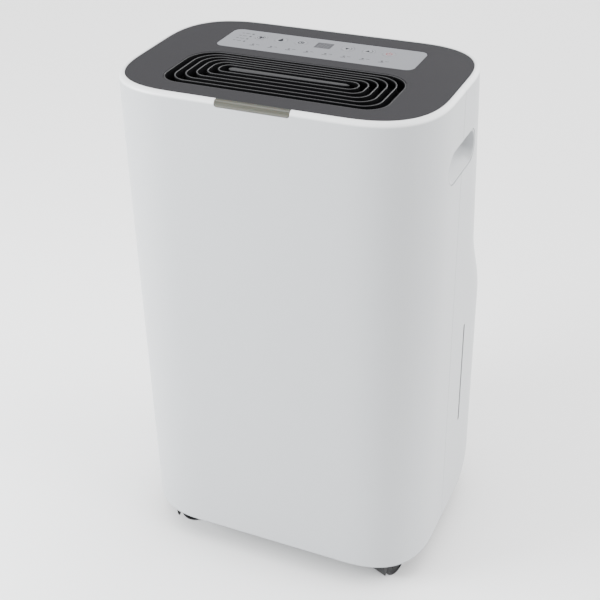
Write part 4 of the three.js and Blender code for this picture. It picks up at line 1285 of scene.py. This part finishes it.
def coil(name, y0, y1, bends):
    """Thin fins on tubes, with an end plate and return bends at each side."""
    fins = []
    count = 96
    for k in range(count):
        x = -COIL_HALF + 6 + (2 * COIL_HALF - 12) * (k + 0.5) / count
        fins.append(block("fin", x - 0.25, x + 0.25, y0 + 1, y1 - 1, COIL_LOW + 2, COIL_HIGH - 2))
    for side in (-1, 1):
        x = side * (COIL_HALF - 3)
        fins.append(block("end", x - 1.5, x + 1.5, y0, y1, COIL_LOW, COIL_HIGH))
        for y in (y0, y1 - 1.5):
            fins.append(block(
                "flange", min(x, x + side * 3.5), max(x, x + side * 3.5), y, y + 1.5, COIL_LOW,
                COIL_HIGH,
            ))
    pitch = (COIL_HIGH - COIL_LOW - 30) / (2 * bends)
    middle = (y0 + y1) / 2
    tubes = []
    for k in range(2 * bends + 1):
        z = COIL_LOW + 15 + k * pitch
        if z < COIL_HIGH - 4:
            tubes.append(tube(
                "pass", [(-COIL_HALF + 2, middle, z), (COIL_HALF - 2, middle, z)], 3.4, 16,
            ))
    for k in range(bends):
        for side in (-1, 1):
            z = COIL_LOW + 15 + (2 * k + (0.5 if side > 0 else 1.5)) * pitch
            if z + pitch / 2 > COIL_HIGH - 4:
                continue
            x = side * (COIL_HALF - 2)
            arc = [
                (x + side * pitch / 2 * cosd(a), middle, z + pitch / 2 * sind(a))
                for a in range(-90, 91, 10)
            ]
            tubes.append(tube("bend", arc, 3.5, 16))
    join(f"{name}_fins", fins)
    join(f"{name}_tubes", tubes)
    return bpy.data.objects[f"{name}_fins"], bpy.data.objects[f"{name}_tubes"]


for name, y0, y1, bends in (("evaporator", 50, 70, 5), ("condenser", 20, 44, 5)):
    fins, tubes = coil(name, y0, y1, bends)
    piece(fins, "housing", "fins", FINS, name)
    piece(tubes, "housing", "copper", COPPER)


def compressor():
    x, y = COMPRESSOR["x"], COMPRESSOR["y"]
    low, high, r = COMPRESSOR["bottom"], COMPRESSOR["top"], COMPRESSOR["radius"]
    profile = [(0, low)]
    profile += [(r - 14 + 14 * sind(a), low + 13 - 13 * cosd(a)) for a in range(0, 91, 10)]
    seam = high - 40
    profile += [(r, seam), (r - 0.8, seam + 0.6), (r - 0.8, seam + 2.4), (r, seam + 3)]
    profile += [(r - 24 + 24 * cosd(a), high - 22 + 20 * sind(a)) for a in range(0, 91, 9)]
    profile += [(0, high)]
    parts = [lathe("can", profile, 72, (x, y, 0))]
    for fx, fy in FEET:
        parts.append(plate(
            "foot", circle(fx, fy, 13, 40), [circle(fx, fy, 4, 24)], low + 2, low + 5, 0.6, 2,
        ))
    return join("compressor_look", parts)


piece(compressor(), "housing", "painted_steel", ENAMEL, "compressor")
cover_profile = [(0, 0.3), (19, 0.3), (20, 1.2), (20, 14), (19, 16.6), (16.5, 17.8), (0, 18)]
piece(
    lathe(
        "terminal_cover_look", cover_profile, 48, (COMPRESSOR["x"], COMPRESSOR["y"], COMPRESSOR["top"]),
    ),
    "housing", "black_plastic", BLACK, "compressor_terminal_cover",
)


def suction_line():
    x, y, low, high, r = 24, -108, 120, 236, 16
    profile = [(0, low)]
    profile += [(r - 8 + 8 * sind(a), low + 8 - 8 * cosd(a)) for a in range(0, 91, 15)]
    profile += [(r - 8 + 8 * cosd(a), high - 8 + 8 * sind(a)) for a in range(0, 91, 15)]
    profile += [(0, high)]
    path = [
        (x, y, high - 3), (x, y, 270), (60, -118, 296), (138, -116, 306), (152, -88, 330),
        (152, -10, 350),
        (152, 40, 375), (149, 56, 394), (138, 60, 402), (COIL_HALF + 1, 60, 402),
    ]
    return join(
        "suction_line_look",
        [lathe("can", profile, 48, (x, y, 0)), tube("line", curve_through(path, 90), 4, 20)],
    )


piece(suction_line(), "housing", "copper", COPPER, "suction_line")
discharge_path = [
    (COMPRESSOR["x"] + 32, COMPRESSOR["y"] + 6, COMPRESSOR["top"] - 3),
    (COMPRESSOR["x"] + 34, COMPRESSOR["y"] + 10, 290),
    (136, -40, 305), (163, -10, 320), (163, 20, 345), (163, 32, 480), (150, 32, 530),
    (COIL_HALF + 1, 32, 534),
]
piece(
    tube("discharge_pipe_look", curve_through(discharge_path, 90), 4, 20), "housing", "copper", COPPER,
    "discharge_pipe",
)
capillary_path = [
    (-COIL_HALF - 1, 32, 381), (-131, 32, 382), (-141, 34, 402), (-150, 40, 440),
    (-150, 52, 440), (-141, 58, 402), (-131, 60, 382), (-COIL_HALF - 1, 60, 381),
]
piece(
    tube("capillary_look", curve_through(capillary_path, 70), 2.6, 14), "housing", "copper", COPPER,
    "capillary_tube",
)


# ---- Fan ----
FAN_Z, FAN_LOW, FAN_HIGH, FAN_R = 440, -98, -32, 84
SCROLL = {"front": -104, "rear": -28, "wall": 2.5, "inner": 92, "growth": 30, "top": 583}


def volute_outline(inset, top):
    steps = 60
    duct = OUTLET["half"] - 4 - inset
    points = []
    for k in range(steps + 1):
        share = k / steps
        a = math.pi - 0.25 + share * (math.pi + 0.5)
        r = SCROLL["inner"] + SCROLL["growth"] * share - inset
        points.append((r * math.cos(a), FAN_Z + r * math.sin(a)))
    return points + [(duct, 540), (duct, top), (-duct, top), (-duct, 540)]


def volute():
    outer = turn_upright(prism(
        "fan_volute_look", volute_outline(0, SCROLL["top"]), -SCROLL["rear"] + 2, -SCROLL["front"],
    ))
    inner = prism(
        "cutter", volute_outline(SCROLL["wall"], SCROLL["top"] + 5), -SCROLL["rear"] - 5,
        -SCROLL["front"] - SCROLL["wall"],
    )
    hole = prism("cutter", circle(0, FAN_Z, 20, 48), -SCROLL["front"] - 5, -SCROLL["front"] + 5)
    return carve(outer, [turn_upright(inner), turn_upright(hole)])


piece(bevelled(volute(), 0.5), "housing", "black_plastic", DUCT, "fan_volute")
cover = plate(
    "fan_volute_cover_look", volute_outline(0, SCROLL["top"]), [circle(0, FAN_Z, FAN_R - 12, 72)], 26.3,
    29.7, 0.5, 2,
)
piece(turn_upright(cover), "housing", "black_plastic", BLACK, "fan_volute_cover")
# Painted shade: a black ring under the grille hides the lit coil tops behind the louvres, standing in for
# the shade deep in the outlet.
mouth = [round_rect(-116, 116, SCROLL["front"] + 3, SCROLL["rear"] - 3, 3, 4)]
shade_ring = plate("outlet_shade_ring", outlet_outline(-3), mouth, SCROLL["top"] + 0.3, SCROLL["top"] + 2.8, 0.6, 2)
piece(shade_ring, "housing", "foam", DUCT)


def fan_wheel():
    parts = [
        plate(
            "back", circle(0, FAN_Z, FAN_R, 72), [circle(0, FAN_Z, 4.3, 32)], -FAN_LOW - 2.5, -FAN_LOW,
            0.4, 2,
        ),
        plate(
            "rim", circle(0, FAN_Z, FAN_R, 72), [circle(0, FAN_Z, FAN_R - 4, 72)], -FAN_HIGH,
            -FAN_HIGH + 3, 0.6, 3,
        ),
        plate(
            "hub", circle(0, FAN_Z, 12, 48), [circle(0, FAN_Z, 4.3, 32)], -FAN_LOW - 24, -FAN_LOW + 1,
            0.8, 3,
        ),
    ]
    for k in range(24):
        turn = 2 * math.pi * k / 24
        outline = []
        for side in (1, -1):
            for j in range(7)[::side]:
                r = FAN_R - 12.6 + 11.8 * j / 6
                a = turn + 0.085 * (j / 6) ** 1.6 + side * 0.9 / r
                outline.append((r * math.cos(a), FAN_Z + r * math.sin(a)))
        parts.append(prism("blade", outline, -FAN_HIGH + 1, -FAN_LOW - 1))
    return turn_upright(join("fan_wheel_look", parts))


piece(fan_wheel(), "fan", "black_plastic", BLACK, "fan_wheel")


def fan_motor():
    front, back = -136, SCROLL["front"] - GAP - 2
    can = [
        (0, -back), (32, -back), (34, -back + 1.5), (34, -front - 4), (33, -front - 1.5), (30, -front),
        (0, -front),
    ]
    nose = [
        (0, -SCROLL["front"] + 3), (17.5, -SCROLL["front"] + 3), (18, -SCROLL["front"] + 2.5),
        (18, -SCROLL["front"] - 1), (17, -SCROLL["front"] - 1.5), (0, -SCROLL["front"] - 1.5),
    ]
    shaft = [
        (0, -SCROLL["front"]), (4, -SCROLL["front"]), (4, -FAN_LOW - 25), (3.5, -FAN_LOW - 26),
        (0, -FAN_LOW - 26),
    ]
    parts = [lathe("can", can, 64), lathe("nose", nose, 48), lathe("shaft", shaft, 32)]
    parts.append(plate(
        "flange", round_rect(-44, 44, -8, 8, 4, 8), [circle(x, 0, 2.2, 16) for x in (-39, 39)],
        -SCROLL["front"] + GAP, -SCROLL["front"] + GAP + 5, 0.4, 2,
    ))
    made = turn_upright(join("fan_motor_look", parts))
    made.data.transform(Matrix.Translation((0, 0, FAN_Z * MM)))
    return made


piece(fan_motor(), "housing", "steel", STEEL, "fan_motor")


# ---- Electrics ----
def electrics_box():
    outer = block("electrics_box_look", -150, -30, -112, -20, 50.8, 200)
    return carve(outer, [block("cutter", -147.5, -32.5, -117, -22.5, 53.3, 197.5)])


piece(bevelled(electrics_box(), 0.8, 3), "housing", "black_plastic", BLACK, "electrics_box")
board_parts = [
    block("board", -145, -36, -60, -58.4, 56, 190),
    block("transformer", -120, -80, -58.6, -38, 90, 130),
]
for x, z, w, h, d in (
    (-70, 100, 16, 12, 14), (-60, 130, 12, 20, 10), (-105, 160, 20, 14, 16), (-132, 80, 12, 16, 12),
    (-75, 165, 26, 10, 9), (-50, 75, 8, 14, 8),
):
    board_parts.append(block("relay", x - w / 2, x + w / 2, -58.6, -58.4 + d, z - h / 2, z + h / 2))
piece(bevelled(join("main_board_look", board_parts), 0.4), "housing", "board", BOARD, "main_board")
can_profile = [
    (0, 54), (15.5, 54), (17, 55.5), (17, 138), (16.2, 139), (16.2, 140), (17, 141), (16.4, 142),
    (14, 141), (0, 141),
]
piece(
    lathe("run_capacitor_look", can_profile, 48, (-62, -90, 0)), "housing", "steel", STEEL,
    "run_capacitor",
)
humidity = join("humidity_sensor_look", [
    plate("case", round_rect(-122, -116, 74, 80, 1, 4), [], 470, 500, 0.4, 2),
    lathe("lead", [(0, 499), (2, 499), (2, 511), (1.2, 512), (0, 512)], 20, (-119, 77, 0)),
])
piece(humidity, "housing", "white_plastic", INNER_WHITE, "humidity_sensor")
sense_y = BAY["front"] - BAY["wall"] - 0.6
sensor = join("tank_sensor_look", [
    block("board", -134, -78, sense_y - 2, sense_y, 240, 292),
    block("switch", -132, -112, sense_y - 16, sense_y - 1, 244, 258),
    block("reed", -98, -82, sense_y - 8, sense_y - 1, 266, 286),
])
piece(bevelled(sensor, 0.5), "housing", "board", BOARD, "tank_sensor")

low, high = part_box("control_board")
board = [plate(
    "board", round_rect(low.x / MM, high.x / MM, low.y / MM, high.y / MM, 3, 5), [], low.z / MM,
    low.z / MM + 1.6, 0.2, 1,
)]
for x in KEY_X:
    board.append(block("switch", x - 3, x + 3, KEY_Y - 3, KEY_Y + 3, low.z / MM + 1.5, 590.8))
piece(join("control_board_look", board), "housing", "board", BOARD, "control_board")


# ---- Air filter behind the intake ----
TILT = math.atan2(DEPTH_MID - DEPTH_TOP, HEIGHT - SHOULDER_TOP_Z)


def against_rear(made, distance):
    """Stands a flat panel drawn at the origin against the leaning rear wall."""
    z = (INTAKE["bottom"] + INTAKE["top"]) / 2 + 1
    place = Matrix.Rotation(math.pi / 2 + TILT, 4, "X")
    place.translation = Vector((0, rear_at(z) - distance, z)) * MM
    made.data.transform(place)
    return made


def filter_frame():
    half = INTAKE["half"] - 4
    windows = []
    for k in range(3):
        x0 = -half + 6 + k * (2 * half - 12) / 3
        x1 = x0 + (2 * half - 12) / 3
        windows.append(round_rect(x0 + (1.5 if k else 0), x1 - (1.5 if k < 2 else 0), -78, 78, 3, 6))
    return plate("filter_frame_look", round_rect(-half, half, -84, 84, 5, 6), windows, 0, 4, 0.6, 3)


piece(against_rear(filter_frame(), 7.6), "intake_door", "black_plastic", BLACK, "filter_frame")


def filter_net():
    half, tall, wire = INTAKE["half"] - 5, 82, 0.22
    parts = [plate(
        "hem", round_rect(-half, half, -tall, tall, 2, 3),
        [round_rect(-half + 2, half - 2, -tall + 2, tall - 2, 1, 3)], 0.05, 0.95, 0.1, 1,
    )]
    for k in range(1, 100):
        x = -half + 2 * half * k / 100
        parts.append(block("wire", x - wire, x + wire, -tall + 1, tall - 1, 0.25, 0.69))
    for k in range(1, 66):
        y = -tall + 2 * tall * k / 66
        parts.append(block("wire", -half + 1, half - 1, y - wire, y + wire, 0.3, 0.74))
    return join("filter_net_look", parts)


piece(against_rear(filter_net(), 11.9), "intake_door", "black_plastic", NET, "filter_mesh")


# ---- Water tank ----
BUCKET = {"half": 137, "front": 12, "rear": 133, "low": 53.5, "high": 285, "wall": 2.5, "r": 20}
LID_TOP = 291
FLOAT_X, FLOAT_Y, FLOAT_Z = -90, 26, 262
BAIL = {"y": 70, "z": LID_TOP + 8, "arm": 50, "half": 124, "r": 3.6}


def bucket_outline(inset, steps=14):
    return round_rect(
        -BUCKET["half"] + inset, BUCKET["half"] - inset, BUCKET["front"] + inset, BUCKET["rear"] - inset,
        BUCKET["r"] - inset, steps,
    )


def bucket():
    levels = []
    low, high, wall = BUCKET["low"], BUCKET["high"], BUCKET["wall"]
    foot = 8
    for a in range(0, 91, 10):
        t = math.radians(a)
        levels.append((foot * (1 - math.sin(t)), low + foot * (1 - math.cos(t))))
    levels += [
        (0, 240), (0, high - 0.8), (0.25, high - 0.25), (0.8, high), (wall - 0.8, high),
        (wall - 0.25, high - 0.25), (wall, high - 0.8), (wall, 240),
    ]
    inner = foot - wall
    for a in range(90, -1, -10):
        t = math.radians(a)
        levels.append((wall + inner * (1 - math.sin(t)), low + wall + inner * (1 - math.cos(t))))
    sections = [[(x, y, z) for x, y in bucket_outline(inset)] for inset, z in levels]
    walls = loft("walls", sections, True, 40)
    parts = [walls]
    for x in (FLOAT_X - 23.5, FLOAT_X + 20.5):
        ear = plate(
            "ear", round_rect(BUCKET["front"] + 1, FLOAT_Y + 5, FLOAT_Z - 6, FLOAT_Z + 6, 2, 5),
            [circle(FLOAT_Y, FLOAT_Z, 2.25, 24)], x, x + 3, 0.3, 2,
        )
        parts.append(turn_sideways(ear))
    return join("tank_bucket_look", parts)


piece(bucket(), "tank", "frosted_plastic", FROSTED, "tank_bucket")


def lid():
    low, high = BUCKET["high"] + GAP, LID_TOP - 2
    parts = [
        plate("cover", bucket_outline(0), [circle(0, 45, 14, 48)], low, high, 0.8, 3),
        plate("lip", bucket_outline(3), [bucket_outline(4.5)], low - 4.2, low + 0.5, 0.3, 2),
        lathe(
            "funnel",
            [
                (14, low - 0.1), (20, low), (24, LID_TOP + 1), (23, LID_TOP + 1), (17, high + 0.2),
                (14, high),
            ],
            48, (0, 45, 0), True,
        ),
        plate("bead", bucket_outline(6), [bucket_outline(8)], high - 0.5, high + 1, 0.6, 3),
    ]
    for side in (-1, 1):
        x = side * (BAIL["half"] + BAIL["r"] + 2.5)
        ear = plate(
            "ear", round_rect(BAIL["y"] - 6, BAIL["y"] + 6, LID_TOP - 3, BAIL["z"] + 6, 4, 8),
            [circle(BAIL["y"], BAIL["z"], 2.25, 24)], x - 1.5, x + 1.5, 0.4, 2,
        )
        parts.append(turn_sideways(ear))
    return join("tank_lid_look", parts)


piece(lid(), "tank", "white_plastic", LID, "tank_lid")


def bail():
    half, arm, y, z, r = BAIL["half"], BAIL["arm"], BAIL["y"], BAIL["z"], BAIL["r"]
    path = rounded_path(
        [(-half, y + 3.9, z), (-half, y - arm, z), (half, y - arm, z), (half, y + 3.9, z)], 9, 10,
    )
    parts = [tube("bar", path, r - 0.05, 24)]
    for side in (-1, 1):
        parts.append(tube("pin", [(side * half, y, z), (side * (half + 9), y, z)], 2.1, 24))
        parts.append(tube("end", [(side * half - 3.4, y, z), (side * half + 3.4, y, z)], 3.6, 32))
    grip = tube("grip", [(-46, y - arm, z), (46, y - arm, z)], r, 32)
    parts.append(grip)
    return join("tank_handle_look", parts)


piece(bail(), "tank_bail", "black_plastic", HOOD, "tank_handle")


def tank_float():
    foam = plate(
        "foam", round_rect(FLOAT_X - 20, FLOAT_X + 20, FLOAT_Y + 14, FLOAT_Y + 48, 4, 8), [],
        FLOAT_Z - 26, FLOAT_Z - 6, 2, 5,
    )
    parts = [
        foam, tube(
            "pin", [(FLOAT_X - 23, FLOAT_Y, FLOAT_Z), (FLOAT_X + 23, FLOAT_Y, FLOAT_Z)], 2.1, 24,
        ),
    ]
    for side in (-1, 1):
        edge = FLOAT_X + side * 18
        arm = plate(
            "arm", round_rect(FLOAT_Y - 3, FLOAT_Y + 20, FLOAT_Z - 8, FLOAT_Z + 3, 2.5, 6), [],
            edge - 2, edge + 2, 0.4, 2,
        )
        parts.append(turn_sideways(arm))
    return join("tank_float_look", parts)


piece(tank_float(), "float", "foam", FOAM, "tank_float")


# ---- Drain and cord gland on the left side ----
def along_x(made):
    """A lathe turned about Z is laid along X."""
    made.data.transform(Matrix(((0, 0, 1, 0), (0, 1, 0, 0), (-1, 0, 0, 0), (0, 0, 0, 1))))
    return made


def at_side(made, y, z):
    along_x(made)
    made.data.transform(Matrix.Translation((0, y * MM, z * MM)))
    return made


spout = lathe("drain_spout_look", [
    (3.6, -175), (5.6, -175), (6, -174.6), (6, -174.8), (10, -174.8), (10, -173), (6, -173),
    (6, -147), (3.6, -147),
], 48, closed=True)
piece(at_side(spout, 60, 120), "housing", "black_plastic", HOOD, "drain_spout")
plug = lathe("drain_plug_look", [
    (0, -178.8), (3, -178.8), (4.8, -178.5), (5.4, -177.8), (5.4, -176), (5.1, -175.6), (3.2, -175.6),
    (3.2, -166), (2.4, -165), (0, -165),
], 48)
piece(at_side(plug, 60, 120), "drain_stopper", "rubber", RUBBER, "drain_plug")
gland = lathe("cord_gland_look", [
    (3.4, -178.2), (3.9, -178.7), (4.5, -178.7), (5, -178.2), (5, -174.6), (8, -174.6), (8, -172.6),
    (5, -172.6), (5, -167), (3.4, -167),
], 48, closed=True)
piece(at_side(gland, 60, 80), "housing", "black_plastic", HOOD, "cord_gland")


# ---- Casters: drawn on the floor under the swivel axis, trail along +X ----
TRAIL, WHEEL_R, WHEEL_W, HOOD_W, WEB, AXLE_R = 10, 15, 20.6, 21.2, 6.4, 2


def on_axle(made):
    """A lathe turned about Z is laid across the trail, at the axle."""
    made.data.transform(Matrix(((1, 0, 0, 0), (0, 0, -1, 0), (0, 1, 0, 0), (0, 0, 0, 1))))
    made.data.transform(Matrix.Translation((TRAIL * MM, 0, WHEEL_R * MM)))
    return made


def caster_hood():
    """A leg and a mudguard on a middle web."""
    top = BASE_Z - 1.5
    leg = [(-12.5, top), (-11, 14), (-9.8, 10.5), (-8.2, 10.5), (-6.6, 15), (-4, 24), (-2, top)]
    middle = [(-9, top), (-8, 17), (2, 9.5), (16, 9.5), (20, 14), (24, 24), (24.5, 30), (22, top)]
    guard = [(-6, top), (-4, 27), (10, 29), (24.2, 24), (24.5, 30), (22, top)]
    half = HOOD_W / 2
    shape = turn_upright(plate("hood", soften(leg, 1.2), [], -half, half, 0.5, 3))
    shape.name = "hood"
    others = [
        turn_upright(plate("web", soften(middle, 2), [], -WEB / 2, WEB / 2, 0.4, 2)),
        turn_upright(plate("guard", soften(guard, 1.6), [], -half + 0.05, half - 0.05, 1.2, 4)),
    ]
    carve(shape, others, "UNION")
    rooms = []
    for side in (-1, 1):
        low, high = sorted((side * WEB / 2, side * (half + 3)))
        rooms.append(turn_upright(prism(
            "cutter", circle(TRAIL, WHEEL_R, WHEEL_R + 1.3, 72), low, high,
        )))
    rooms.append(turn_upright(prism("cutter", circle(TRAIL, WHEEL_R, 4.4, 40), -20, 20)))
    carve(shape, rooms)
    stem = lathe(
        "stem", [
            (0, top - 1), (4, top - 1), (4, BASE_Z + 11), (3.4, BASE_Z + 12), (0, BASE_Z + 12),
        ], 32,
    )
    collar = lathe(
        "collar",
        [(0, top - 0.6), (10.4, top - 0.6), (10.4, top + 0.1), (9.8, top + 0.7), (0, top + 0.7)], 48,
    )
    return join("caster_hood", [shape, stem, collar])


def caster_wheel():
    """Two wheels on one hub, each with a rounded tread and a dished outer face."""
    inner, half, r = WEB / 2 + 0.5, WHEEL_W / 2, WHEEL_R
    side = [
        (4, inner), (r - 3, inner), (r - 1.3, inner + 0.4), (r - 0.3, inner + 1.3), (r, inner + 2.4),
    ]
    side += [(r, half - 2.4), (r - 0.3, half - 1.3), (r - 1.1, half - 0.6), (r - 2.2, half - 0.3)]
    side += [
        (r - 3, half - 0.35), (r - 3.6, half - 1.4), (6.2, half - 1.4), (5.6, half - 0.4), (5, half),
        (3.2, half),
    ]
    side += [(AXLE_R + 0.15, half - 0.3)]
    full = [(a, -b) for a, b in reversed(side)] + side
    return on_axle(lathe("caster_wheel", full, 72, closed=True, angle=40))


def caster_axle():
    reach = WHEEL_W / 2 - 0.3
    profile = [
        (0, -reach), (1.7, -reach), (2, -reach + 0.3), (2, reach - 0.3), (1.7, reach), (0, reach),
    ]
    return on_axle(lathe("caster_axle", profile, 32))


for corner, (x, y, turn) in CASTER_PLACES.items():
    place = Matrix.Translation((x * MM, y * MM, 0)) @ Matrix.Rotation(math.radians(turn), 4, "Z")
    for kind, make, body, slot_name, surface in (
        ("hood", caster_hood, "swivel", "black_plastic", HOOD),
        ("wheel", caster_wheel, "roller", "wheel_plastic", TREAD),
        ("axle", caster_axle, "roller", "steel", STEEL),
    ):
        made = make()
        made.name = f"{corner}_{kind}_look"
        made.data.transform(place)
        piece(made, f"{corner}_{body}", slot_name, surface, f"{corner}_caster_{kind}")
